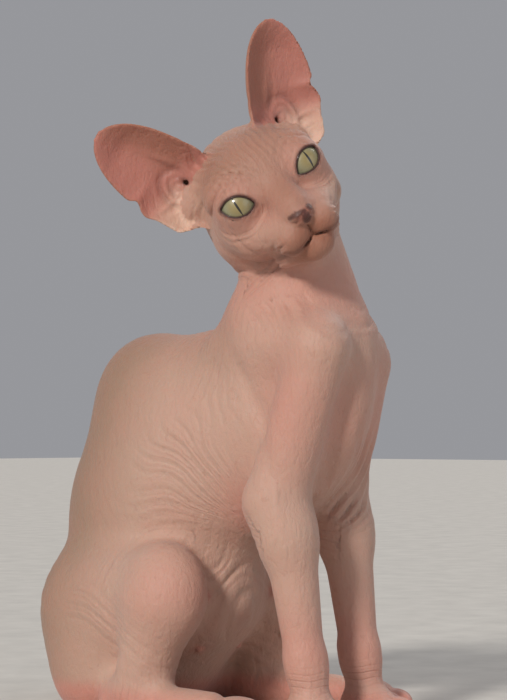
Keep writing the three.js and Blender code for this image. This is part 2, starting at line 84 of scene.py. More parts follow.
# Rounded forms as distance-like fields over many points at once, joined smoothly like flesh.

def length(v):
    """As norms, but quick for many points in single precision."""
    return np.sqrt(np.einsum("ij,ij->i", v, v))


def norms(v):
    return np.linalg.norm(v, axis=1)


def smooth(a, b, k):
    """Both fields joined, rounded over k."""
    h = np.maximum(k - np.abs(a - b), 0) / k
    return np.minimum(a, b) - h * h * (k * 0.25)


def carve(a, b, k):
    """a with b taken out, rounded over k."""
    return -smooth(-a, b, k)


def egg(P, c, r, rows=None):
    """A ball about c, stretched to r along the rows of its own frame."""
    q = P - np.asarray(c, F)
    if rows is not None:
        q = q @ np.asarray(rows, F).T
    r = np.asarray(r, F)
    q = q / r
    k0 = length(q) + 1e-6
    q /= r
    k1 = length(q) + 1e-9
    return k0 * (k0 - 1) / k1


def bone(P, a, b, ra, rb, squash=1.0):
    """A round bar whose radius goes from ra to rb. squash thins it across x."""
    a, b = np.asarray(a, F), np.asarray(b, F)
    d = b - a
    v = P - a
    t = np.clip((v @ d) / float(d @ d), 0, 1)
    v = v - t[:, None] * d
    if squash < 1:
        v[:, 0] /= squash
    q = length(v) - (ra + (rb - ra) * t)
    return q * math.sqrt(squash) if squash < 1 else q


def joined(P, lumps):
    """Lumps joined in turn: each is how softly it joins, its form and the form's sizes."""
    d = None
    for k, form, *sizes in lumps:
        e = form(P, *sizes)
        d = e if d is None else smooth(d, e, k)
    return d


def chain(P, points, radii, k):
    """Bars from point to point."""
    return joined(P, [(k, bone, *bar) for bar in zip(points, points[1:], radii, radii[1:])])


def tilted(degrees):
    c, s = math.cos(math.radians(degrees)), math.sin(math.radians(degrees))
    return [[1, 0, 0], [0, c, s], [0, -s, c]]


def mirrored(q):
    """The points brought to the side where x is positive, for what is alike on both."""
    m = q.copy()
    m[:, 0] = np.abs(m[:, 0])
    return m


def bell(v, middle, width):
    return np.exp(-((v - middle) / width) ** 2)


def spot(values, middles, widths):
    """A bell over two or three values at once."""
    return np.exp(-sum(((v - a) / w) ** 2 for v, a, w in zip(values, middles, widths)))


def ramp(v, a, b):
    """0 up to a and 1 from b, eased between them."""
    t = np.clip((v - a) / (b - a), 0, 1)
    return t * t * (3 - 2 * t)


def fade(v, a, b):
    """1 up to a and 0 from b."""
    return 1 - ramp(v, a, b)


def drift(P, size, seed):
    """A soft random field between about -1 and 1, its bumps size mm long."""
    rng = np.random.default_rng(seed)
    out = np.zeros(len(P))
    for k in range(6):
        d = rng.normal(size=3)
        d *= 2 * math.pi / size * rng.uniform(0.6, 1.5) / np.linalg.norm(d)
        out += np.sin(P @ d + rng.uniform(0, 6.28))
    return out / 3


# The body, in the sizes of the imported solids. Only the skin has the full nape, the lips and chin,
# the nostrils, the ears' notches and ridges, and the folds.

FORE = (
    dict(s=-1, shoulder=-35, high=195, elbow=-10, wrist=-26, paw=-33),
    dict(s=1, shoulder=-21, high=188, elbow=2, wrist=-19, paw=-28),
)
HIND = (
    dict(s=-1, knee=55, knee_x=46, foot=-8),
    dict(s=1, knee=60, knee_x=43, foot=-5),
)
PAW_X, HIND_X = 25.5, 53
# Where each foot stands, and how far it turns out.
PAWS = [(leg["s"] * PAW_X, leg["paw"], -4 * leg["s"]) for leg in FORE]
PAWS += [(leg["s"] * HIND_X, leg["foot"], -6 * leg["s"]) for leg in HIND]
TOES = ((-10.5, -8, 7.0), (-4.0, -14.5, 7.4), (4.0, -14.5, 7.4), (10.5, -8, 7.0))

TRUNK = (
    (0, egg, (0, 26, 152), (36, 72, 53), tilted(-32)),  # chest
    (25, egg, (0, 94, 117), (45, 79, 59), tilted(-56)),  # belly and loin
    (25, egg, (0, 110, 47), (43, 49, 49)),  # rump
    (20, egg, (0, 67, 66), (33, 31, 32)),  # groin
    (25, egg, (0, 103, 173), (28, 36, 32)),  # hump of the back
    (20, egg, (0, 44, 185), (17, 34, 19)),  # withers
    (13, egg, (4, -19, 184), (17, 20, 30)),  # breastbone
    (16, egg, (30, 116, 24), (25, 31, 30)),  # seat, left and right
    (16, egg, (-30, 116, 24), (25, 31, 30)),
)


def foreleg(P, s, shoulder, high, elbow, wrist, **_):
    return joined(P, (
        (0, bone, (s * 15, 34, 194), (s * 24, shoulder + 5, high), 13, 13.5),
        (10, bone, (s * 25, shoulder, high - 3), (s * 30, elbow - 1, 118), 14.5, 16),
        (12, bone, (s * 30, elbow, 112), (s * 30, elbow - 7, 96), 14, 13.5),
        (10, bone, (s * 29.5, elbow - 8, 100), (s * PAW_X, wrist, 34), 13.5, 9.4),
        (8, bone, (s * PAW_X, wrist, 36), (s * PAW_X, wrist - 4, 14), 9.4, 9.6),
    ))


def hindleg(P, s, knee, knee_x, foot):
    return joined(P, (
        (0, bone, (s * 30, 118, 54), (s * (knee_x - 1), knee + 2, 70), 38, 21, 0.72),
        (16, egg, (s * knee_x, knee - 4, 68), (16, 19, 20)),
        (12, bone, (s * (knee_x + 1), knee, 60), (s * 48, 68, 18), 18, 15),
        (10, bone, (s * 48, 84, 10), (s * 51, foot + 24, 10), 11, 9.8),
    ))


def paw_rows(yaw):
    c, s = math.cos(math.radians(yaw)), math.sin(math.radians(yaw))
    return np.array([[c, s, 0], [-s, c, 0], [0, 0, 1]])


def paw(P, x, y, yaw):
    rows = paw_rows(yaw)
    at = lambda q: np.array([x, y, 0]) + np.asarray(q, float) @ rows
    toes = [(1.6, egg, at(toe), (5.6, 10.5, 7), rows) for toe in TOES]
    return joined(P, [(0, egg, at((0, 3, 10)), (12.5, 17, 9.5), rows), *toes])


TAIL = ((0, 150, 26), (12, 166, 11), (42, 172, 6.5), (72, 158, 5.5), (86, 128, 5), (86, 92, 4.5), (80, 58, 4))
TAIL_ROOT, TAIL_TIP = 9.5, 3.4


def tail_points(count=26):
    """Points along the tail's smooth curve, and its radius at each."""
    pts = [np.asarray(p, float) for p in TAIL]
    pts = [2 * pts[0] - pts[1]] + pts + [2 * pts[-1] - pts[-2]]
    out = []
    for i in range(1, len(pts) - 2):
        a, b, c, d = pts[i - 1:i + 3]
        for j in range(8):
            t = j / 8
            out.append(0.5 * (2 * b + (c - a) * t + (2 * a - 5 * b + 4 * c - d) * t * t
                              + (3 * b - a - 3 * c + d) * t ** 3))
    out.append(pts[-2])
    out = np.array(out)
    run = np.concatenate([[0], np.cumsum(norms(np.diff(out, axis=0)))])
    t = np.linspace(0, 1, count)
    place = np.stack([np.interp(t * run[-1], run, out[:, i]) for i in range(3)], 1)
    return place, TAIL_ROOT + (TAIL_TIP - TAIL_ROOT) * t ** 0.7


# The head. Its own frame: x left, y back, z up, from the point midway between the eyeballs.

HEAD_AT = np.array([-41.7, -16.4, 274.7])
HEAD_LEFT = unit([0.636, -0.523, 0.567])
HEAD_BACK = unit([0.630, 0.776, 0.009])
HEAD_ROWS = np.array([HEAD_LEFT, HEAD_BACK, unit(np.cross(HEAD_LEFT, HEAD_BACK))])
EYE_X, EYE_R, LID_R = 19.5, 10.3, 11.9
EYE_TURN, EYE_SLANT = math.radians(13), math.radians(23)
LID_HALF, LID_TALL = 9.1, 5.4
LID_ARC = (LID_HALF ** 2 + LID_TALL ** 2) / (2 * LID_TALL)


def to_head(P):
    return ((P - HEAD_AT.astype(F)) @ HEAD_ROWS.T.astype(F)).astype(F)


def from_head(q):
    return HEAD_AT + np.asarray(q, float) @ HEAD_ROWS


def eye_rows(s):
    """Along the opening from the inner to the outer corner, up across it, and forward."""
    ahead = np.array([s * math.sin(EYE_TURN), -math.cos(EYE_TURN), 0.0])
    side = np.array([s * math.cos(EYE_TURN), math.sin(EYE_TURN), 0.0])
    up = np.array([0, 0, 1.0])
    u = math.cos(EYE_SLANT) * side + math.sin(EYE_SLANT) * up
    v = -math.sin(EYE_SLANT) * side + math.cos(EYE_SLANT) * up
    return np.array([u, v, ahead])


def almond(u, v):
    """Below zero inside the opening between the lids: where two arcs cross."""
    o = LID_ARC - LID_TALL
    top = np.sqrt(u * u + (v + o) ** 2) - LID_ARC
    low = np.sqrt(u * u + (v - o) ** 2) - LID_ARC
    return -smooth(-top, -low, 1.2)


LIP_ACROSS = (0, 1.8, 5.7, 9.6, 12.6, 17.8, 23)
LIP_HEIGHT = (-31.2, -32.9, -34.0, -34.7, -34.7, -31.8, -28)


def lip_height(across):
    """Height of the line between the lips, so far to the side of the middle."""
    return np.interp(across, LIP_ACROSS, LIP_HEIGHT)


def mouth_gap(m, d):
    """Below zero in the grooves of the mouth and the upper lip, which close at a depth inside the surface."""
    across, back, high = m.T
    lips = np.abs(high - lip_height(across)) - 0.95 * (1 + d / 2.4)
    lips = lips + 2 * ramp(across, 6, 12) + 3 * ramp(back, 0, 8)
    cleft = across - 0.75 * (1 + d / 2.0) + 3 * ramp(high, -26.6, -24.6) + 3 * ramp(-high, 31.4, 33)
    return np.minimum(lips, cleft + 3 * ramp(back, -20, -16)).astype(F)


def nose_marks(q):
    """Distance to the dark patches of the nose, which are not alike on its two sides."""
    top = chain(q, [(-6.3, -25.5, -18.9), (-3.1, -28.4, -19.4), (1.3, -29.6, -19.8)], (0.8, 1.4, 1.0), 0.5)
    front = egg(q, (0.7, -28.5, -23.3), (2.3, 4.5, 2.6))
    far = egg(q, (5.0, -27.5, -19.4), (1.7, 3.5, 1.6))
    return np.minimum(np.minimum(top, front), far)


# The middle line and the left side; the right side is alike.
HEAD = (
    (0, egg, (0, 38, 7), (32, 38, 29)),  # skull
    (12, egg, (0, 8, 9), (21, 18, 18)),  # forehead
    (8, egg, (17, 8, 9), (15, 15, 11)),  # brow
    (10, egg, (23.5, 16, -8), (10.5, 20, 14)),  # cheekbone
    (12, egg, (22, 34, -16), (13, 18, 16)),  # back of the jaw
    (9, bone, (0, 2, 3), (0, -20, -15), 11, 7.2),  # bridge of the nose
    (9, egg, (0, -8, -24), (15, 16, 13)),  # muzzle
    (8, bone, (12, -11, -23), (21, 6, -18), 7.5, 9.5),  # upper lip
    (2, egg, (8.7, -15.5, -28), (9.6, 10.7, 8.8)),  # whisker pad
    (2.2, egg, (0, -25, -21), (6.4, 4.8, 4.4)),  # nose
    (5, bone, (0, 12, -33), (0, -11, -36.5), 12, 7),  # lower jaw
    (4, bone, (3, -14, -38.4), (14.5, 3, -34.5), 5.0, 5.0),  # lower lip
    (2.5, egg, (0, -14.5, -38.0), (8.5, 7.4, 6.6)),  # chin
    (12, egg, (0, 28, -20), (24, 26, 20)),  # throat
)
NOSTRIL = (((3.2, -29.6, -22.4), (5.4, -26.8, -23.0), 1.25, 1.0),
           ((5.4, -26.8, -23.0), (7.0, -24.8, -21.0), 0.9, 0.5))


def head(P):
    m = mirrored(to_head(P))
    e = (m - np.array([EYE_X, 0, 0], F)) @ eye_rows(1).T.astype(F)
    rr = length(e)
    d = smooth(joined(m, HEAD), rr - LID_R, 5)
    d = carve(d, mouth_gap(m, d), 0.6)
    for bar in NOSTRIL:
        d = carve(d, bone(m, *bar), 0.7)
    opening = np.maximum(almond(e[:, 0], e[:, 1]), -e[:, 2])
    return carve(carve(d, opening, 0.8), rr - EYE_R - 0.1, 0.5)


EAR_LONG, EAR_THICK, EAR_HALF = 60.0, 2.6, 21.4
EAR_ROOT = (26.5, 27, 17.6)
EARS = {-1: dict(shift=1.5, face=(0.25, -1, -0.05)), 1: dict(shift=-0.5, face=(0.42, -1, -0.05))}


def ear_rows(s):
    along = unit([24, 0, 50])
    face = np.array(EARS[s]["face"], float)
    face = unit(face - along * (face @ along))
    wide = np.cross(along, face)
    return np.array([wide if wide[0] > 0 else -wide, along, face])


def ear_place(P, s):
    """Across (to the cat's side), along and forward of the ear, from the middle of its root."""
    q = to_head(P)
    q[:, 0] *= s
    l = (q - np.array(EAR_ROOT, F)) @ ear_rows(s).T.astype(F)
    return l[:, 0], l[:, 1], l[:, 2]


def ear_half(e):
    q = np.clip(e / EAR_LONG, 0, 0.9999)
    return EAR_HALF * (1 - q ** 2.9) ** 0.54 * (1 - 0.5 * ramp(-e, 0, 14))


def ear_cup(w, e, s):
    """How far across the cup, from -1 to 1, and the depth of its middle sheet there."""
    t = np.clip(e / EAR_LONG, 0, 1)
    half = ear_half(e) + (1.6 * bell(e, 17, 4) - 2.4 * bell(e, 25, 3)) * (w > 0)
    x = (w - (2.6 - 1.2 * t) - EARS[s]["shift"] * np.clip(0.3 + t * 1.5, 0, 1)) / np.maximum(half, 3)
    cup = (12 - 7.5 * t) * fade(t, 0.72, 1.02)
    return x, half, cup, 1 - cup * (1 - np.clip(x, -1.25, 1.25) ** 2)


def bowl(w, e):
    """Round the ear's bowl: distance out, the same as its curls wander, the turn, and how far outward."""
    r, a = np.hypot(w - 4.5, e - 9.2), np.arctan2(e - 9.2, w - 4.5)
    wavy = r * (1 + 0.05 * np.cos(2 * a + 0.5) + 0.06 * np.sin(3 * a))
    return r, wavy, a, np.clip(0.35 + 0.65 * np.cos(a - 0.8), 0, 1)


# Lumps and pits of the bowl: where they lie across and along the ear, how wide each way, and how high.
EAR_LUMPS = (
    ((6.4, 5.0), (1.8, 1.6), 2.0), ((8.2, 8.4), (1.5, 1.3), 1.4), ((2.2, 2.6), (2.4, 1.7), 1.6),
    ((4.6, 9.6), (1.4, 1.7), 1.3), ((11.5, 3.6), (1.5, 2.6), 1.2), ((4.5, 27), (4.0, 9.0), 0.8),
    ((0.8, 8), (1.6, 2.6), -3.0), ((7.0, 1.2), (3.2, 1.0), -1.2),
)


def ear_relief(w, e):
    """Height of the ridges in the ear's bowl: curls round the canal, lumps beside it, long folds above."""
    _, r, a, outer = bowl(w, e)
    high = (1.5 * bell(r, 7.4, 1.9) - 0.8 * bell(r, 10.4, 1.6)) * outer
    high = high + 1.5 * bell(r, 4.2, 1.1) * np.clip(np.cos(a - 2.3), 0, 1)
    for at, size, rise in EAR_LUMPS:
        high = high + rise * spot((w, e), at, size)
    high = high + 0.8 * bell(w + 3.0 - 0.12 * (e - 24), 0, 2.0) * bell(e, 25, 9)
    high = high + 0.8 * bell(e - 10 - 0.45 * (w - 16), 0, 1.3) * bell(w, 16, 4)
    return high + 0.7 * bell(e - 4 - 0.45 * (w - 16), 0, 1.3) * bell(w, 15, 4)


def ear(P, s):
    w, e, n = ear_place(P, s)
    x, half, cup, sheet = ear_cup(w, e, s)
    t = np.clip(e / EAR_LONG, 0, 1)
    lean = np.sqrt(1 + (2 * cup * x / np.maximum(half, 6)) ** 2)
    d = np.abs(n - sheet) / lean - EAR_THICK / 2 * (1 - 0.22 * t)
    out = np.maximum((np.abs(x) - 1) * np.maximum(half, 3) * 0.9, np.maximum(e - EAR_LONG, -12 - e))
    d = carve(d, -out, 1.0)
    d = d - (ear_relief(w, e) * ramp(n - sheet, -0.4, 0.8) * fade(np.abs(x), 0.8, 1.0)).astype(F)
    # the back of the bowl at its root, and the canal
    local = np.stack([w, e, n], 1)
    d = smooth(d, egg(local, (1, -1, -13.5), (14, 16, 9)), 6)
    d = smooth(d, egg(local, (9, -3, -6), (9, 7, 6)), 5)
    return carve(d, egg(local, (0.8, 8, -9.5), (1.3, 2.4, 4.2)), 1.0)


NECK = ((1, -2, 200), (-4, 3, 253), 36, 25)
NAPE = ((-3, 9, 209), (29, 29, 22))
TAIL_BELOW, NO_TAIL = 50, 60
FLOOR_GAP = 0.05


def skin_field(P):
    d = joined(P, TRUNK)
    limbs = [(8, foreleg, leg) for leg in FORE] + [(12, hindleg, leg) for leg in HIND]
    for (k, limb, leg), place in zip(limbs, PAWS):
        d = smooth(d, limb(P, **leg), k)
        d = smooth(d, paw(P, *place), 6)
    d = smooth(d, bone(P, *NECK), 16)
    d = smooth(d, egg(P, *NAPE), 12)
    d = smooth(d, head(P), 8)
    for s in (-1, 1):
        d = smooth(d, ear(P, s), 4)
    low = P[:, 2] < TAIL_BELOW
    if low.any():
        place, radii = tail_points()
        tail = np.full(len(P), NO_TAIL, F)
        tail[low] = chain(P[low], place, radii, 1.0)
        d = smooth(d, tail, 5)
    return carve(d, P[:, 2] - FLOOR_GAP, 1.2)


# The solids stand with the middle of their box over the origin: their eyes show how far that moved them.
def eye_middle(node_name):
    lo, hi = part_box(node_name)
    return (np.array(lo) + np.array(hi)) / 2


SHIFT = eye_middle("eye_left") / MM - from_head((EYE_X, 0, 0))


# The mesher: surface nets on a grid whose cells shrink towards the head.

CORE = from_head((0, 20, 12))
CORE_R, CORE_EDGE, CORE_SCALE = 120.0, 60.0, 0.6
GRID_LO, GRID_HI = (-175, -145, -72), (165, 250, 436)
# How many blocks away the surface may still be, and the value far from it.
NEAR_BLOCK, FAR_OUT = 0.9 * 1.75, 9
# How often the mesh's points are drawn to the surface, and how far at most.
SETTLE_STEPS, SETTLE_MM = 2, 0.5


def pull(Q):
    """From the even grid's space to real space."""
    v = Q - CORE
    rho = norms(v) + 1e-9
    x = np.clip((rho - CORE_R) / CORE_EDGE, 0, 1)
    eased = CORE_EDGE * (x ** 3 - x ** 4 / 2) + np.maximum(rho - CORE_R - CORE_EDGE, 0)
    r = CORE_SCALE * rho + (1 - CORE_SCALE) * eased
    return (CORE + v * (r / rho)[:, None]).astype(F)


def in_parts(field, P, n=150000):
    return np.concatenate([field(P[i:i + n]) for i in range(0, len(P), n)])


def net_grid(field, lo, hi, h, coarse=4):
    """Surface nets over a box. The field is worked out only in the coarse blocks near the surface."""
    lo = np.asarray(lo, float)
    n = (np.ceil((np.asarray(hi) - lo) / h / coarse).astype(int) + 1) * coarse + 1
    blocks = (n - 1) // coarse
    mid = [lo[i] + (np.arange(blocks[i]) + 0.5) * h * coarse for i in range(3)]
    G = np.stack(np.meshgrid(*mid, indexing="ij"), -1).reshape(-1, 3)
    d = in_parts(field, G).reshape(blocks)
    near = np.abs(d) < h * coarse * NEAR_BLOCK
    grow = lambda a: np.repeat(np.repeat(np.repeat(a, coarse, 0), coarse, 1), coarse, 2)
    value = np.full(n, FAR_OUT, F)
    value[:-1, :-1, :-1] = grow(np.sign(d) * FAR_OUT)
    value[-1] = value[:, -1] = value[:, :, -1] = FAR_OUT
    mark = np.zeros(n, bool)
    m = grow(near)
    for i, j, k in np.ndindex(2, 2, 2):
        mark[i:n[0] - 1 + i, j:n[1] - 1 + j, k:n[2] - 1 + k] |= m
    value[mark] = in_parts(field, lo + np.argwhere(mark) * h)
    return nets(value, lo, h)


def nets(v, lo, h):
    """One vertex for each cell that the surface crosses, one quad for each edge that it cuts."""
    s = v < 0
    cells = np.zeros(tuple(np.array(v.shape) - 1), np.int8)
    part = lambda o, axis: slice(o, v.shape[axis] - 1 + o)
    for i, j, k in np.ndindex(2, 2, 2):
        cells += s[part(i, 0), part(j, 1), part(k, 2)]
    on = (cells > 0) & (cells < 8)
    ids = np.full(cells.shape, -1, np.int64)
    where = np.argwhere(on)
    ids[on] = np.arange(len(where))
    total = np.zeros((len(where), 3))
    count = np.zeros(len(where))
    ways = np.eye(3, dtype=int)
    for axis, way in enumerate(ways):
        for a, b in np.ndindex(2, 2):
            p = where + np.insert((a, b), axis, 0)
            va, vb = v[tuple(p.T)], v[tuple((p + way).T)]
            cut = (va < 0) != (vb < 0)
            at = p + way * (va / np.where(cut, va - vb, 1))[:, None]
            total[cut] += at[cut]
            count[cut] += 1
    verts = lo + total / count[:, None] * h
    quads = []
    for axis in range(3):
        one, two = ways[axis - 2], ways[axis - 1]
        here = [slice(1, v.shape[i] - 1) for i in range(3)]
        there = list(here)
        there[axis] = slice(2, v.shape[axis])
        a, b = s[tuple(here)], s[tuple(there)]
        for inside, flip in ((a & ~b, False), (~a & b, True)):
            c = np.argwhere(inside) + 1
            corners = [c - one - two, c - two, c, c - one]
            ring = np.stack([ids[tuple(k.T)] for k in corners], 1)
            quads.append(ring[:, ::-1] if flip else ring)
    quads = np.concatenate(quads)
    return verts, quads[(quads >= 0).all(1)]


def slope(field, P, e=0.12):
    """The field's value and its outward direction at each point."""
    corners = np.array([[1, -1, -1], [-1, -1, 1], [-1, 1, -1], [1, 1, 1]], F)
    g = np.zeros((len(P), 3))
    total = np.zeros(len(P))
    for c in corners:
        d = in_parts(field, (P + c * e).astype(F))
        g += d[:, None] * c
        total += d
    size = norms(g) + 1e-9
    return total / 4, g / size[:, None]


# Folds of loose skin. Each family gives where it lies (0 to 1), its phase, one turn a fold, and its depth.

SKULL_AT, SKULL_R, FACE_R = (0, 20, -4), 62, 60


def fan(a, b, at, degrees, bend, P, seed):
    """Folds that spread from a pit at `at`, one for each so many degrees."""
    u, v = a - at[0], b - at[1]
    rho = np.hypot(u, v)
    turn = np.degrees(np.arctan2(v, u))
    return rho, turn, (turn + bend * rho + 5 * drift(P, 45, seed)) / degrees


def body_folds(P, N):
    x, y, z = P.T
    ax = np.abs(x)
    side = ramp(np.abs(N[:, 0]), 0.2, 0.55)
    stray = lambda much, size, seed: much * drift(P, size, seed)
    out, turn, flank = fan(y, z, (14, 98), 7.2, 0.22, P, 1)
    down, spread, breast = fan(x, z, (7, 92), 9.0, -0.12, P, 3)
    round_nape = np.degrees(np.arctan2(x + 4, y - 2))
    sweep = z - 0.8 * y
    run = z - 0.45 * (y - 95)
    reach = np.hypot(y - 57, z - 68)
    coil = np.degrees(np.arctan2(y - 110, x - 30))
    return [
        # flank: from the pit behind the elbow, up and back
        (ramp(out, 10, 32) * fade(out, 56, 90) * bell(turn, 50, 34) * side * (y > -2), flank, 1.9),
        # behind the shoulder: nearly upright
        (bell(y, 34, 20) * bell(z, 172, 24) * side * 0.7, (y + 0.3 * z) / 6.5 + stray(0.3, 50, 2), 0.5),
        # breast, between the legs: down to the near elbow
        (ramp(down, 8, 20) * fade(down, 50, 74) * bell(spread, 66, 36) * ramp(-N[:, 1], 0.0, 0.4)
         * (y < 8), breast, 2.3),
        # withers and nape
        (bell(y, 50, 20) * bell(z, 200, 16), y / 6.0 + stray(0.4, 40, 4), 0.7),
        (bell(z, 222, 18) * ramp(y, -8, 6) * 0.8, round_nape / 11 + stray(0.4, 45, 5), 0.6),
        # collar: from the nape down to the front of the shoulders
        (bell(sweep, 226, 17) * ramp(z, 190, 206) * fade(y, 18, 34), sweep / 9.5 + stray(0.3, 60, 6), 1.7),
        # under the jaw
        (bell(z, 246, 6) * (y < 12) * 0.8, z / 5.0 + 0.02 * x + stray(0.4, 35, 16), 0.5),
        # thigh: down and forward below the knee
        (bell(y, 80, 34) * bell(run, 54, 16) * (ax > 25) * fade(y, 118, 140),
         run / 7.6 + stray(0.35, 45, 7), 1.5),
        # round the knee
        (bell(reach, 31, 6) * (y > 48) * (ax > 25) * 0.8, reach / 5.6 + stray(0.25, 35, 8), 0.8),
        # belly
        (bell(y, 40, 22) * bell(z, 66, 26) * (ax < 38), (y + 0.5 * z) / 6.8 + stray(0.35, 40, 9), 1.4),
        # back of the elbow, wrists and ankles
        (bell(z, 99, 12) * (y > -14) * (y < 12) * (ax < 46), z / 4.8 + stray(0.3, 25, 10), 0.6),
        (bell(z, 24, 8) * (y < -5) * 0.7, z / 3.6 + stray(0.3, 20, 11), 0.3),
        (bell(z, 18, 9) * bell(y, 66, 16) * (ax > 34) * 0.8, y / 4.6 + stray(0.3, 20, 12), 0.5),
        # rump and the long of the back
        (bell(y, 150, 16) * bell(z, 62, 46) * 0.5, z / 9.0 + stray(0.5, 50, 13), 0.5),
        (bell(y, 112, 34) * bell(z, 120, 50) * side * 0.35, (y - 0.3 * z) / 9.0 + stray(0.5, 55, 14), 0.4),
        # tail
        ((x > 36) * (y > 55) * (z < 14) * (ax + y > 128) * 0.8, coil / 4.4, 0.22),
    ]


def head_folds(P, N):
    q = to_head(P).astype(float)
    l, b, u = q.T
    al = np.abs(l)
    on_head = ramp(1 - norms(q - SKULL_AT) / SKULL_R, 0, 0.12)
    stray = lambda much, size, seed: much * drift(P, size, seed)
    rr = np.sqrt((al - EYE_X) ** 2 + b ** 2 + u ** 2)
    arc = np.hypot(al - 10, u + 8)
    return [
        # forehead: upright lines that close in towards the brows
        (bell(u, 26, 15) * fade(al, 22, 32) * (b < 44) * on_head,
         l / (3.9 + 0.05 * np.maximum(b, 0)) + stray(0.3, 26, 21), 1.4),
        # over and under the eyes
        (bell(rr, 17.5, 3.4) * ramp(u, 2, 8) * on_head, rr / 3.0 + stray(0.12, 24, 22), 0.7),
        (bell(rr, 16.8, 3.0) * ramp(-u, 2, 8) * (b < 14) * on_head * 0.8,
         rr / 3.1 + stray(0.12, 24, 23), 0.7),
        # cheeks: arcs that run from the ear's root round to the corner of the mouth
        (bell(arc, 26, 6.5) * fade(u, 8, 22) * ramp(al, 12, 20) * on_head,
         arc / 4.4 + stray(0.3, 30, 24), 1.7),
        # from the corner of the mouth back along the jaw
        (bell(u + 0.25 * b, -33, 4.5) * ramp(al, 13, 17) * (b < 26) * on_head,
         (u + 0.25 * b) / 4.2 + stray(0.25, 26, 26), 1.3),
        # side of the head in front of and under the ears
        (bell(al, 33, 9) * bell(u, 10, 10) * ramp(b, 14, 24) * on_head * 0.7,
         (u + 0.5 * b) / 4.8 + stray(0.3, 30, 25), 0.5),
    ]


UPPER_ARM = ((-25, -50, 196), (-13, -43, 178), (-12, -37, 157), (-8, -24, 127))
VEIN = ((44, -22, 122), (45, -25, 100), (41, -33, 78), (36, -37, 50))
VEIN_FORK = ((45, -24, 101), (47, -15, 90), (43, -16, 74))
NIPPLES = ((25, 41, 65), (15, 58, 36), (24, 20, 88))
WRIST_PAD, PAD_SIZE = (21, -14, 40), (3.0, 4.5, 3.6)


def swells(P, N):
    """Single features, in millimetres: the valleys beside the upper arm, a vein, nipples and wrist pads."""
    x, y, z = P.T
    m = mirrored(P.astype(F))
    thread = lambda Q, points: chain(Q, points, [0.5] * len(points), 0.5)
    side = ramp(np.abs(N[:, 0]), 0.2, 0.55)
    made = -1.8 * bell(y - 0.59 * (z - 163), 0, 6) * bell(z, 162, 34) * side * (y > -30)
    made -= 2.0 * np.exp(-(thread(P.astype(F), UPPER_ARM) / 6.0) ** 2) * fade(z, 158, 190)
    vein = np.minimum(thread(m, VEIN), thread(m, VEIN_FORK))
    made += 0.45 * np.exp(-(vein / 1.7) ** 2)
    for at in NIPPLES:
        made += 1.7 * np.exp(-(norms(m - np.array(at)) / 1.7) ** 4)
    return made + 1.8 * spot((np.abs(x), y, z), WRIST_PAD, PAD_SIZE)


def creases(phase):
    """A fold's height: a rounded ridge between narrow valleys."""
    c = np.cos(2 * math.pi * phase)
    return -0.62 * np.maximum(c, 0) ** 3 - 0.38 * (0.5 + 0.5 * c)


def folds(P, N, depth):
    """Height of the folds, and the phase and strength that the fine lines in the material follow."""
    near = ramp(1 - norms(to_head(P) - SKULL_AT) / FACE_R, 0, 0.12)
    height, phase, first, second = np.zeros((4, len(P)))
    for share, families in ((1 - near, body_folds(P, N)), (near, head_folds(P, N))):
        for i, (m, p, a) in enumerate(families):
            m = np.clip(np.clip(m, 0, 1) * (0.75 + 0.35 * drift(P, 30, 40 + i)) * share, 0, 1)
            height += m * a * creases(p)
            best = m > first
            second = np.where(best, first, np.maximum(second, m))
            first = np.where(best, m, first)
            phase = np.where(best, p, phase)
    return height * depth, phase, np.clip(first - second, 0, 1)


# Where the skin is flushed, pigmented, grey or pale, and where shade is painted on it.

def ear_tones(P, s):
    """Inside, pale root, back, canal and dark lines of one ear. The pink inside is thinned by painted shade
    over its upper inner side, and the dark lines are painted shade.
    """
    w, e, n = ear_place(P.astype(F), s)
    across, _, _, sheet = ear_cup(w, e, s)
    there = (np.abs(across) < 1.12) & (e > -6) & (np.abs(n - sheet) < 4.5)
    front = ramp(n - sheet, -0.6, 0.6) * there
    # painted shade: the pink inside thins over the upper inner side of the ear, and the brown of the ear's
    # back shows there
    shade = ramp(-w, -8, 9) * ramp(e, 10, 22)
    r, wavy, a, outer = bowl(w, e)
    # painted shade in the ear's canal pit and along the valleys between its curls and ridges
    lines = 0.3 * bell(wavy, 10.0, 1.4) * outer + spot((w, e), (0.8, 8), (1.7, 2.4))
    lines += 0.3 * bell(wavy, 5.2, 1.2) * (0.5 + 0.5 * np.sin(3 * a))
    lines += 0.25 * bell(w + 2 - 0.12 * (e - 24), 0, 1.6) * bell(e, 21, 6)
    return np.array([
        front * ramp(e, -2, 8) * (1 - 0.6 * shade) * (1 - 0.7 * ramp(np.abs(across), 0.9, 1.0)),
        front * fade(e, 2, 20) * ramp(w, -2, 10),
        there * ramp(e, 4, 20) * np.where(n < sheet, 0.8, 1.0),
        front * fade(r, 6, 11),
        np.clip(lines, 0, 1) * front,
    ], float)


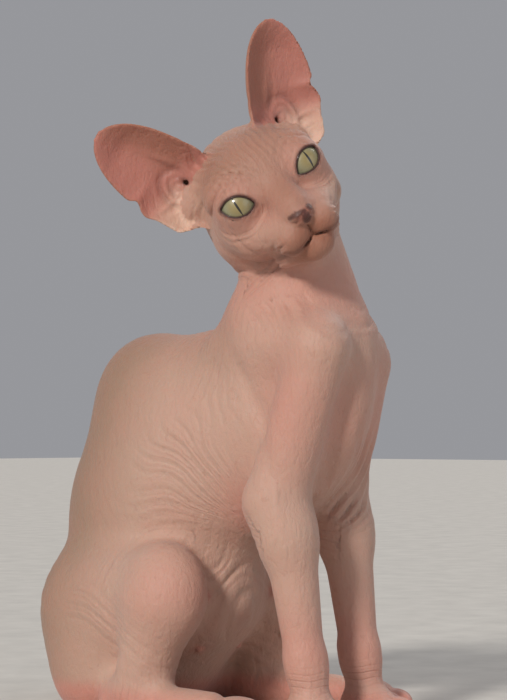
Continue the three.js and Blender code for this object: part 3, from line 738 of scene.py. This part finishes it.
def tones(P):
    """How much of each tone every point has, from 0 to 1."""
    x, y, z = P.T
    ax = np.abs(x)
    q = to_head(P).astype(float)
    m = mirrored(q)
    al, b, u = face = m.T
    most = lambda *layers: np.maximum.reduce(layers)
    on_head = ramp(u + 50 - 0.3 * b, 0, 16) * (norms(q - [0, 20, 0]) < 110)
    eye = np.sqrt((al - EYE_X) ** 2 + b ** 2 + u ** 2)
    inner, root, back_of_ear, canal, lines = np.maximum(ear_tones(P, -1), ear_tones(P, 1))
    flush = most(
        0.4 * spot((y, z), (40, 70), (22, 20)) * ramp(ax, 28, 44),
        0.7 * bell(y, 14, 16) * bell(z, 108, 20) * (ax > 14),
        0.5 * bell(z, 40, 26) * (y < -5),
        0.8 * (z < 22) * fade(z, 12, 22),
        0.55 * bell(z, 165, 34) * bell(y, -24, 22),
        0.4 * on_head * bell(eye, 13, 4),
        0.45 * bell(z, 225, 22),
        0.5 * on_head * bell(al, 10, 9) * bell(u, -8, 12) * ramp(-b, 0, 12),
        0.9 * canal,
        *(np.exp(-(norms(mirrored(P) - at) / 3) ** 2) for at in NIPPLES),
    )
    grey = (1 - on_head) * most(ramp(y + 0.25 * z, 90, 165), 0.5 * bell(z, 205, 24) * ramp(y, 0, 30))
    muzzle = on_head * spot(face, (6, -19, -30), (11, 12, 8))
    # chin: brown skin, with part of its darkness painted shade under the head
    chin = on_head * spot(face, (0, -10, -40), (12, 12, 6))
    crown = on_head * bell(u, 22, 14) * ramp(-b, -40, -10) * 0.5
    bridge = on_head * bell(al, 0, 9) * ramp(-b, -2, 10) * bell(u, -6, 14)
    pigment = np.clip(0.2 * on_head + 1.1 * muzzle + 1.2 * chin + crown + 0.55 * bridge, 0, 1)
    nose = on_head * spot((np.maximum(al - 1.5, 0), b, u), (0, -28, -21.2), (3.6, 5, 3.4))
    lips = on_head * (1 - ramp(mouth_gap(m, np.zeros(len(P))), -0.75, 0.15)) * (u < -25) * (b < 8)
    corner = (1 - ramp(np.abs(u - lip_height(al)), 0.4, 1.9)) * ramp(al, 5, 8) * fade(al, 15, 20) * (b < 8)
    e = (m - np.array([EYE_X, 0, 0])) @ eye_rows(1).T
    lid = on_head * fade(almond(e[:, 0], e[:, 1]), 0.3, 1.9) * (e[:, 2] > 2) * (eye < 14.5)
    return dict(
        wet=np.clip(canal + nose, 0, 1), flush=flush, grey=grey, pigment=pigment, nose=np.clip(nose, 0, 1),
        # patch: the nose's dark patches, which are its own colour, and the painted shade of the ears' dark
        # lines
        patch=most(on_head * (1 - ramp(nose_marks(q.astype(F)), -0.3, 0.9)), lines),
        ear_inner=inner, ear_root=root, ear_back=back_of_ear,
        dark_edge=most(0.55 * most(lips, 0.95 * on_head * corner), lid),
    )


def bare(P, tone):
    """Where folds may lie: not on the nose or along dark edges, and clear of the floor."""
    return (1 - np.clip(tone["dark_edge"] + tone["nose"], 0, 1)) * ramp(P[:, 2], 1, 6)


# Materials.

def node(tree, kind, inputs=None, **settings):
    """A new node. inputs, by name or number, are set, or linked where the value is another node's socket."""
    n = tree.nodes.new(kind)
    for key, value in settings.items():
        setattr(n, key, value)
    return fill(tree, n, inputs or {})


def fill(tree, n, inputs):
    for key, value in inputs.items():
        if isinstance(value, bpy.types.NodeSocket):
            tree.links.new(value, n.inputs[key])
        else:
            n.inputs[key].default_value = value
    return n


def mix(tree, factor, a, b):
    return node(tree, "ShaderNodeMix", {0: factor, 6: a, 7: b}, data_type="RGBA").outputs[2]


def calculator(tree):
    """A function that adds a math node to the tree: its operation, then its terms."""
    def calc(operation, *terms):
        return node(tree, "ShaderNodeMath", dict(enumerate(terms)), operation=operation).outputs[0]
    return calc


def attribute(tree, name):
    return node(tree, "ShaderNodeAttribute", attribute_name=name).outputs["Fac"]


def noise(tree, coordinates, scale, detail=3.0, roughness=0.55):
    return node(tree, "ShaderNodeTexNoise", {
        "Vector": coordinates, "Scale": scale, "Detail": detail, "Roughness": roughness}).outputs["Fac"]


def eased(tree, value, low, high):
    """0 up to low and 1 from high."""
    return node(tree, "ShaderNodeMapRange", {"Value": value, "From Min": low, "From Max": high},
                interpolation_type="SMOOTHSTEP").outputs["Result"]


def bumped(tree, height, distance, strength):
    return node(tree, "ShaderNodeBump", {
        "Height": height, "Distance": distance, "Strength": strength}).outputs["Normal"]


def new_material(name):
    m = bpy.data.materials.new(name)
    m.use_nodes = True
    return m, m.node_tree, m.node_tree.nodes["Principled BSDF"]


def object_place(tree):
    return node(tree, "ShaderNodeTexCoord").outputs["Object"]


def linear(srgb):
    """A colour picked as 0 to 255 display values, as the renderer's numbers."""
    straight = lambda c: c / 12.92 if c <= 0.04045 else ((c + 0.055) / 1.055) ** 2.4
    return tuple(straight(c / 255) for c in srgb) + (1.0,)


PORES_PER_M = 1000.0


def skin_texture_group():
    """Fine height of bare skin: pores, a lattice of tiny lines, and the fine lines that follow the folds. It
    also gives a mottle, and where the creases lie for the painted shade in their valleys.
    """
    made = bpy.data.node_groups.new("Bare skin height", "ShaderNodeTree")
    put = made.interface.new_socket
    put("Coordinates", in_out="INPUT", socket_type="NodeSocketVector")
    for name in ("Phase", "Strength", "Pore scale"):
        put(name, in_out="INPUT", socket_type="NodeSocketFloat")
    for name in ("Height", "Mottle", "Crease"):
        put(name, in_out="OUTPUT", socket_type="NodeSocketFloat")
    calc = calculator(made)
    given = node(made, "NodeGroupInput").outputs
    at = given["Coordinates"]
    phase = calc("MULTIPLY_ADD", noise(made, at, 50.0, 2.0), 0.7, given["Phase"])
    ridges = []
    for turns, sharp in ((1.0, 2.4), (2.6, 1.6)):
        wave = calc("COSINE", calc("MULTIPLY", phase, 2 * math.pi * turns))
        ridges.append(calc("POWER", calc("MAXIMUM", wave, 0.0), sharp))
    coarse, fine = ridges
    # where the creases lie: their fine bump, and the painted shade in their valleys
    crease = calc("MULTIPLY", calc("MULTIPLY_ADD", fine, 0.2, coarse), given["Strength"])
    cell = node(made, "ShaderNodeTexVoronoi", {"Vector": at, "Scale": given["Pore scale"]},
                feature="DISTANCE_TO_EDGE")
    lattice = calc("MINIMUM", cell.outputs["Distance"], 0.25)
    grain = noise(made, at, 420.0, 5.0, 0.65)
    height = calc("MULTIPLY_ADD", lattice, 0.25, calc("MULTIPLY", grain, 0.45))
    long = node(made, "ShaderNodeMapping", {"Vector": at, "Scale": (1.0, 1.0, 0.45)}).outputs["Vector"]
    crepe = calc("ABSOLUTE", calc("SUBTRACT", noise(made, long, 150.0, 3.0, 0.6), 0.5))
    height = calc("MULTIPLY_ADD", calc("MINIMUM", crepe, 0.12), 3.0, height)
    height = calc("MULTIPLY_ADD", crease, -0.7, height)
    mottle = noise(made, at, 38.0, 4.0, 0.6)
    node(made, "NodeGroupOutput", {"Height": height, "Mottle": mottle, "Crease": crease})
    return made


# Attribute, colour and share, from the lowest layer up. Mottle, flecks and the painted shade in the creases
# lie between the two lists.
SKIN_LAYERS = (("grey", "back"), ("flush", "flush"), ("pigment", "muzzle"), ("ear_back", "muzzle"),
               ("ear_inner", "ear"), ("ear_root", "pale"), ("nose", "nose"))
DARK_LAYERS = (("patch", 0.85), ("dark_edge", 0.75))


def skin_material(look):
    m, t, shader = new_material("Bare skin")
    calc = calculator(t)
    at = object_place(t)
    relief = node(t, "ShaderNodeGroup", {
        "Coordinates": at, "Phase": attribute(t, "fold_phase"), "Strength": attribute(t, "fold_strength"),
        "Pore scale": PORES_PER_M}, node_tree=skin_texture_group()).outputs
    color = lambda name: tuple(getattr(look, name + "_color"))
    c = color("skin")
    for layer, name in SKIN_LAYERS:
        c = mix(t, attribute(t, layer), c, color(name))
    mottle = node(t, "ShaderNodeMapRange", {
        "Value": relief["Mottle"], "From Min": 0.32, "From Max": 0.7}).outputs["Result"]
    c = mix(t, calc("MULTIPLY", mottle, 0.16), c, color("flush"))
    fleck = calc("MULTIPLY", calc("GREATER_THAN", noise(t, at, 210.0, 3.0, 0.6), 0.66), 0.12)
    c = mix(t, fleck, c, color("nose"))
    # painted shade: the valleys of the fold lines are darkened towards the crease colour
    c = mix(t, calc("MULTIPLY", relief["Crease"], 0.2), c, color("crease"))
    for layer, share in DARK_LAYERS:
        c = mix(t, calc("MULTIPLY", attribute(t, layer), share), c, color("dark"))
    rough = node(t, "ShaderNodeMapRange", {"Value": mottle, "To Min": 0.5, "To Max": 0.64}).outputs["Result"]
    wet = calc("MULTIPLY", attribute(t, "wet"), -0.2)
    fill(t, shader, {
        "Base Color": c, "Roughness": calc("ADD", rough, wet),
        "Normal": bumped(t, relief["Height"], 0.0007, 0.75),
        "Subsurface Weight": 0.22, "Subsurface Radius": (1.0, 0.35, 0.2), "Subsurface Scale": 0.004,
        "Specular IOR Level": 0.32, "Sheen Weight": 0.12, "Sheen Roughness": 0.45,
    })
    return m


LIMBUS, PUPIL = (0.02, 0.012, 0.008, 1), (0.004, 0.003, 0.003, 1)


def eye_material(look):
    """Iris, dark ring and slit pupil, laid out by each point's seat in the eye, in millimetres."""
    m, t, shader = new_material("Eye")
    calc = calculator(t)
    seat = node(t, "ShaderNodeAttribute", attribute_name="seat").outputs["Vector"]
    across, up = node(t, "ShaderNodeSeparateXYZ", {0: seat}).outputs[:2]
    flat = node(t, "ShaderNodeCombineXYZ", {0: across, 1: up}).outputs[0]
    far = node(t, "ShaderNodeVectorMath", {0: flat}, operation="LENGTH").outputs["Value"]
    turn = calc("ARCTAN2", up, across)
    ray = node(t, "ShaderNodeCombineXYZ", {0: calc("MULTIPLY", turn, 7.0), 1: calc("MULTIPLY", far, 0.22)})
    streak = noise(t, ray.outputs[0], 2.6, 5.0, 0.7)
    color = lambda name: tuple(getattr(look, name))
    c = mix(t, eased(t, far, 2.0, 8.2), color("iris_inner"), color("iris_outer"))
    c = mix(t, calc("MULTIPLY", streak, 0.55), c, color("iris_streak"))
    c = mix(t, eased(t, far, 7.9, 9.4), c, LIMBUS)
    bow = calc("MULTIPLY", calc("MULTIPLY", up, up), 0.016)
    slit = calc("ADD", calc("ABSOLUTE", across), bow)
    fill(t, shader, {
        "Base Color": mix(t, eased(t, slit, 0.42, 0.72), PUPIL, c), "Normal": bumped(t, streak, 0.0003, 0.25),
        "Roughness": 0.35, "Coat Weight": 1.0, "Coat Roughness": 0.02, "Specular IOR Level": 0.5,
    })
    return m


def plain_material(name, color, roughness, coat=0.0, scale=600.0, depth=0.0002):
    m, t, shader = new_material(name)
    grain = noise(t, object_place(t), scale, 4.0)
    dark = tuple(v * 0.55 for v in color[:3]) + (1.0,)
    fill(t, shader, {
        "Base Color": mix(t, calculator(t)("MULTIPLY", grain, 0.7), color, dark),
        "Normal": bumped(t, grain, depth, 0.4), "Roughness": roughness, "Coat Weight": coat,
    })
    return m


# Pieces.

def placed(name, data):
    piece = bpy.data.objects.new(name, data)
    bpy.context.collection.objects.link(piece)
    return piece


def evaluated_mesh(piece):
    """The piece's mesh with its modifiers applied."""
    return bpy.data.meshes.new_from_object(piece.evaluated_get(bpy.context.evaluated_depsgraph_get()))


def mesh_piece(name, verts_mm, faces, material):
    made = bpy.data.meshes.new(name)
    made.from_pydata(((np.asarray(verts_mm) + SHIFT) * MM).tolist(), [], np.asarray(faces).tolist())
    made.shade_smooth()
    made.materials.append(material)
    return placed(name, made)


def give(piece, name, values):
    """Stores a number, or a row of three, for each point."""
    values = np.ascontiguousarray(values, dtype=F)
    kind, key = ("FLOAT", "value") if values.ndim == 1 else ("FLOAT_VECTOR", "vector")
    piece.data.attributes.new(name, kind, "POINT").data.foreach_set(key, values.ravel())


def srgb_property(name, description, srgb):
    return bpy.props.FloatVectorProperty(name=name, description=description, subtype="COLOR", size=4,
                                         min=0.0, max=1.0, default=linear(srgb))


def length_property(name, description, mm):
    return bpy.props.FloatProperty(name=name, description=description, default=mm * MM, unit="LENGTH")


class SphynxBody(bpy.types.PropertyGroup):
    cell: length_property("Skin cell", "Mesh cell on the trunk; the head's are finer", 1.75)
    triangles: bpy.props.IntProperty(name="Triangles", default=192000, min=20000, max=199000,
                                     description="Most triangles of the skin, after the trunk is thinned")
    fold_depth: length_property("Fold depth", "Depth of the deepest skin folds", 1.0)
    rim: length_property("Lid rim", "Radius of the dark rim of the eyelids", 0.42)
    claw: length_property("Claw", "Length of a claw that shows", 4.2)


class SphynxLook(bpy.types.PropertyGroup):
    skin_color: srgb_property("Skin", "Skin of the flank", (192, 157, 140))
    back_color: srgb_property("Back", "Greyer skin of the back", (152, 122, 102))
    flush_color: srgb_property("Flush", "Pink of the knees, elbows and folds", (199, 134, 120))
    muzzle_color: srgb_property("Muzzle", "Browner skin of the muzzle and crown", (152, 103, 82))
    nose_color: srgb_property("Nose", "Leather of the nose", (150, 92, 78))
    ear_color: srgb_property("Ear", "Inside of the ears", (180, 118, 105))
    pale_color: srgb_property("Ear root", "Pale skin at the root of the ear", (216, 180, 160))
    # painted shade in the valleys of the folds
    crease_color: srgb_property("Crease", "Depth of the creases", (150, 98, 84))
    # Rim colour: also the painted shade in the ears' canals and crevices
    dark_color: srgb_property("Rim", "Lid rims, lip line and dark patches", (70, 38, 34))
    iris_inner: srgb_property("Iris, inner", "Iris beside the pupil", (166, 148, 96))
    iris_outer: srgb_property("Iris, outer", "Iris at its edge", (156, 158, 130))
    iris_streak: srgb_property("Iris streaks", "Rays in the iris", (92, 84, 54))


# What of the head keeps all its triangles, in its own frame.
HEAD_BALL, HEAD_REACH, UNDER_CHIN = (0, 20, 10), 104, -46


def thinned(P, faces, most):
    """Collapses the flattest triangles of the trunk and legs until at most so many are left in all."""
    raw = bpy.data.meshes.new("Raw skin")
    raw.from_pydata(P.tolist(), [], faces.tolist())
    piece = placed("Raw skin", raw)
    q = to_head(P.astype(F))
    body = (norms(q - HEAD_BALL) > HEAD_REACH) | (q[:, 2] < UNDER_CHIN)
    group = piece.vertex_groups.new(name="Trunk")
    group.add(np.nonzero(body)[0].tolist(), 1.0, "REPLACE")
    modifier = piece.modifiers.new("Thin", "DECIMATE")
    modifier.ratio = min(1.0, most / (2 * len(faces)))
    modifier.vertex_group = "Trunk"
    bpy.context.view_layer.update()
    made = evaluated_mesh(piece)
    points = np.empty(3 * len(made.vertices), F)
    made.vertices.foreach_get("co", points)
    made.calc_loop_triangles()
    corners = np.empty(3 * len(made.loop_triangles), np.int32)
    made.loop_triangles.foreach_get("vertices", corners)
    bpy.data.objects.remove(piece)
    bpy.data.meshes.remove(raw)
    bpy.data.meshes.remove(made)
    return points.reshape(-1, 3).astype(float), corners.reshape(-1, 3)


class SPHYNX_OT_skin(bpy.types.Operator):
    """Builds the one skin over the whole body, with its folds and tones"""
    bl_idname = "sphynx.skin"
    bl_label = "Skin"

    def execute(self, context):
        sizes = context.scene.sphynx_body
        verts, quads = net_grid(lambda Q: skin_field(pull(Q)), GRID_LO, GRID_HI, sizes.cell / MM)
        P = pull(verts).astype(float)
        for _ in range(SETTLE_STEPS):
            d, N = slope(skin_field, P)
            P -= np.clip(d, -SETTLE_MM, SETTLE_MM)[:, None] * N
        N = slope(skin_field, P)[1]
        height = folds(P, N, sizes.fold_depth / MM)[0] + swells(P, N)
        P += (height * bare(P, tones(P)))[:, None] * N
        P[:, 2] = np.maximum(P[:, 2], 0.0)
        P, faces = thinned(P, quads, sizes.triangles)
        phase, strength = folds(P, slope(skin_field, P)[1], 1.0)[1:]
        tone = tones(P)
        piece = mesh_piece("Skin", P, faces, skin_material(context.scene.sphynx_look))
        for name, values in tone.items():
            give(piece, name, np.clip(values, 0, 1))
        give(piece, "fold_phase", phase)
        give(piece, "fold_strength", strength * bare(P, tone))
        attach(piece, "root")
        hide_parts(*[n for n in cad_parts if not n.startswith("eye_")])
        print("skin", len(P), "points", len(faces), "triangles of", 2 * len(quads))
        return {"FINISHED"}


CORNEA_RISE, CORNEA_EDGE = 0.35, 0.72


def eyeball(rings=40, segments=64):
    """A ball with a domed cornea on its own z axis, and its faces."""
    points, faces = [], []
    for i in range(rings + 1):
        a = math.pi * i / rings
        r = EYE_R + CORNEA_RISE * max(0.0, math.cos(a) - CORNEA_EDGE) / (1 - CORNEA_EDGE)
        for j in range(segments):
            b = 2 * math.pi * j / segments
            k = (j + 1) % segments
            points.append((r * math.sin(a) * math.cos(b), r * math.sin(a) * math.sin(b), r * math.cos(a)))
            if i < rings:
                here, below = i * segments, (i + 1) * segments
                faces.append((here + j, below + j, below + k, here + k))
    return np.array(points), faces


class SPHYNX_OT_eyes(bpy.types.Operator):
    """Sets the two eyes, with their slit pupils, and the dark rims of the lids"""
    bl_idname = "sphynx.eyes"
    bl_label = "Eyes and lid rims"

    def execute(self, context):
        look = context.scene.sphynx_look
        iris = eye_material(look)
        rim_material = plain_material("Lid rim", tuple(look.dark_color), 0.4, 0.3)
        rim = context.scene.sphynx_body.rim / MM
        for s, word in ((-1, "right"), (1, "left")):
            rows = eye_rows(s)
            ahead = rows[2]
            up = unit(np.array([0, 0, 1.0]) - ahead * ahead[2])
            side = np.cross(up, ahead)
            points, faces = eyeball()
            local = points[:, :1] * side + points[:, 1:2] * up + points[:, 2:] * ahead
            piece = mesh_piece("Eye_" + word, from_head(local + [s * EYE_X, 0, 0]), faces, iris)
            give(piece, "seat", points)
            weld(piece)
            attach(piece, "root")
            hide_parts("eye_" + word)
            tube = tube_piece("Lid_rim_" + word, lid_ring(s, rows), rim, rim_material)
            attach(tube, "root")
        return {"FINISHED"}


def weld(piece):
    b = bmesh.new()
    b.from_mesh(piece.data)
    bmesh.ops.remove_doubles(b, verts=b.verts, dist=1e-6)
    bmesh.ops.dissolve_degenerate(b, edges=b.edges, dist=1e-7)
    bmesh.ops.recalc_face_normals(b, faces=b.faces)
    b.to_mesh(piece.data)
    b.free()


# How the rims lie in the opening: a little inside its edge, and in front of the eyeball.
RIM_WIDE, RIM_TALL, RIM_FORWARD = 0.965, 0.955, 0.62


def lid_ring(s, rows, count=72):
    """Points along the edge of the lids, in the cat's frame."""
    reach = math.asin(LID_HALF / LID_ARC)
    out = []
    for turn in (1, -1):
        for i in range(count // 2):
            a = -reach + 2 * reach * i / (count // 2)
            u = turn * LID_ARC * math.sin(a) * RIM_WIDE
            v = turn * (LID_ARC * math.cos(a) - (LID_ARC - LID_TALL)) * RIM_TALL
            w = math.sqrt((EYE_R + RIM_FORWARD) ** 2 - u * u - v * v)
            out.append(from_head(np.array([s * EYE_X, 0, 0]) + u * rows[0] + v * rows[1] + w * rows[2]))
    return np.array(out)


def tube_piece(name, ring, radius, material, sides=8):
    """A closed loop of tube."""
    n = len(ring)
    centre = ring.mean(0)
    points, faces = [], []
    for i in range(n):
        along = unit(ring[(i + 1) % n] - ring[i - 1])
        out = ring[i] - centre
        out = unit(out - along * (out @ along))
        up = np.cross(along, out)
        for j in range(sides):
            a = 2 * math.pi * j / sides
            points.append(ring[i] + radius * (math.cos(a) * out + math.sin(a) * up))
    for i in range(n):
        for j in range(sides):
            k, m = (j + 1) % sides, (i + 1) % n
            faces.append((i * sides + j, i * sides + k, m * sides + k, m * sides + j))
    return mesh_piece(name, points, faces, material)


# The claw's curve, for a claw of length 1, and its thickness at the root and at the tip.
CLAW_CURVE = {"Start": (0, 0.2, 0.05), "Start Handle": (0, -0.2, 0.2),
              "End Handle": (0, -0.75, 0.1), "End": (0, -1.0, -0.35)}
CLAW_RADIUS, CLAW_TIP = 0.24, 0.08
CLAW_ON_TOE, CLAW_DROP = (0, -9.0, 0.2), math.radians(8)
HORN = (206, 176, 156)


def claw_nodes(material, length):
    """Geometry Nodes: a tapering hooked claw on every point, turned by the point's own angle."""
    tree = bpy.data.node_groups.new("Claws", "GeometryNodeTree")
    put = tree.interface.new_socket
    put("Geometry", in_out="INPUT", socket_type="NodeSocketGeometry")
    size = put("Length", in_out="INPUT", socket_type="NodeSocketFloat")
    size.default_value = length
    put("Geometry", in_out="OUTPUT", socket_type="NodeSocketGeometry")
    add = lambda kind, inputs=None, **more: node(tree, "GeometryNode" + kind, inputs, **more).outputs[0]
    given = node(tree, "NodeGroupInput").outputs
    thin = node(tree, "ShaderNodeMapRange", {
        "Value": add("SplineParameter"), "To Min": 1.0, "To Max": CLAW_TIP}).outputs["Result"]
    arc = add("CurvePrimitiveBezierSegment", {"Resolution": 6, **CLAW_CURVE})
    taper = add("SetCurveRadius", {"Curve": arc, "Radius": thin})
    ring = add("CurvePrimitiveCircle", {"Resolution": 8, "Radius": CLAW_RADIUS})
    horn = node(tree, "GeometryNodeCurveToMesh", {"Curve": taper, "Profile Curve": ring, "Fill Caps": True})
    if "Scale" in horn.inputs:
        fill(tree, horn, {"Scale": thin})
    angle = add("InputNamedAttribute", {"Name": "angle"}, data_type="FLOAT_VECTOR")
    copies = add("InstanceOnPoints", {
        "Points": given["Geometry"], "Instance": horn.outputs[0],
        "Rotation": angle, "Scale": given["Length"]})
    real = add("RealizeInstances", {"Geometry": copies})
    paint = add("SetMaterial", {"Geometry": real, "Material": material})
    node(tree, "NodeGroupOutput", {"Geometry": paint})
    return tree, size.identifier


class SPHYNX_OT_claws(bpy.types.Operator):
    """Puts a short claw at the end of each toe"""
    bl_idname = "sphynx.claws"
    bl_label = "Claws"

    def execute(self, context):
        points, angles = [], []
        for x, y, yaw in PAWS:
            for toe in TOES:
                points.append(np.array([x, y, 0]) + (np.array(toe) + CLAW_ON_TOE) @ paw_rows(yaw))
                angles.append((CLAW_DROP, 0, math.radians(yaw)))
        piece = mesh_piece("Claws", points, [], plain_material("Horn", linear(HORN), 0.35, 0.3))
        give(piece, "angle", angles)
        tree, size = claw_nodes(piece.data.materials[0], context.scene.sphynx_body.claw)
        modifier = piece.modifiers.new("Claws", "NODES")
        modifier.node_group = tree
        modifier[size] = context.scene.sphynx_body.claw
        made = evaluated_mesh(piece)
        piece.modifiers.clear()
        piece.data = made
        made.shade_smooth()
        if not len(made.vertices):
            raise RuntimeError("the claws came out empty")
        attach(piece, "root")
        return {"FINISHED"}


FLOOR_HALF, FLOOR_Z = 9000, -0.05
FLOOR_COLOR, WORLD_COLOR, WORLD_STRENGTH = (0.72, 0.69, 0.64, 1), (0.93, 0.94, 1.0, 1), 0.33
STAGE_MIDDLE = np.array([0, 40, 180.0])
# Each sun's way (forward, right, up, seen from the camera), strength, angular size and tint.
SUNS = (
    ("Key", (1300, 800, -850), 2.25, 0.16, (1.0, 0.96, 0.9)),
    ("Fill", (1100, -1500, -500), 0.38, 0.9, (0.9, 0.94, 1.0)),
    ("Back", (-1300, -600, -1300), 0.7, 0.6, (1.0, 0.97, 0.93)),
)


class SPHYNX_OT_stage(bpy.types.Operator):
    """Sets the pale floor, the soft lights and the camera"""
    bl_idname = "sphynx.stage"
    bl_label = "Stage"

    def execute(self, context):
        scene = context.scene
        corners = [(x * FLOOR_HALF, y * FLOOR_HALF, FLOOR_Z) for x, y in ((-1, -1), (1, -1), (1, 1), (-1, 1))]
        floor = mesh_piece("Floor", corners, [(0, 1, 2, 3)],
                           plain_material("Pale floor", FLOOR_COLOR, 0.8, 0.0, 30.0, 0.0001))
        world = bpy.data.worlds.new("Studio")
        scene.world = world
        world.use_nodes = True
        fill(world.node_tree, world.node_tree.nodes["Background"], {0: WORLD_COLOR, 1: WORLD_STRENGTH})
        eye, right, forward, up = camera_axes()
        for name, way, power, angle, tint in SUNS:
            toward = forward * way[0] + right * way[1] + up * way[2]
            lamp = bpy.data.lights.new(name, "SUN")
            lamp.energy, lamp.angle, lamp.color = power, angle, tint
            holder = placed(name, lamp)
            holder.location = Vector((STAGE_MIDDLE - toward + SHIFT) * MM)
            holder.rotation_mode = "QUATERNION"
            holder.rotation_quaternion = Vector(toward).to_track_quat("-Z", "Y")
        data = bpy.data.cameras.new("Camera")
        data.sensor_width = SENSOR_MM
        data.lens = FOCAL_PX / PICTURE_H * SENSOR_MM
        data.clip_end = 100
        camera = placed("Camera", data)
        turn = Matrix((right, up, -forward)).transposed().to_4x4()
        camera.matrix_world = Matrix.Translation(Vector((eye + SHIFT) * MM)) @ turn
        scene.camera = camera
        scene.view_settings.view_transform = "Standard"
        return {"FINISHED"}


STEPS = (SPHYNX_OT_skin, SPHYNX_OT_eyes, SPHYNX_OT_claws, SPHYNX_OT_stage)


class SPHYNX_PT_panel(bpy.types.Panel):
    """Lists the cat's sizes, colours and steps"""
    bl_label = "Sphynx"
    bl_space_type = "VIEW_3D"
    bl_region_type = "UI"
    bl_category = "Sphynx"

    def draw(self, context):
        for group in (context.scene.sphynx_body, context.scene.sphynx_look):
            column = self.layout.column(align=True)
            for name in group.bl_rna.properties.keys():
                if name not in ("rna_type", "name"):
                    column.prop(group, name)
        for step in STEPS:
            self.layout.operator(step.bl_idname)


CLASSES = (SphynxBody, SphynxLook, *STEPS, SPHYNX_PT_panel)


def register():
    for c in CLASSES:
        bpy.utils.register_class(c)
    bpy.types.Scene.sphynx_body = bpy.props.PointerProperty(type=SphynxBody)
    bpy.types.Scene.sphynx_look = bpy.props.PointerProperty(type=SphynxLook)


def unregister():
    del bpy.types.Scene.sphynx_look
    del bpy.types.Scene.sphynx_body
    for c in reversed(CLASSES):
        bpy.utils.unregister_class(c)


def main():
    register()
    for step in STEPS:
        getattr(bpy.ops.sphynx, step.bl_idname.split(".")[1])()


if __name__ == "__main__":
    main()
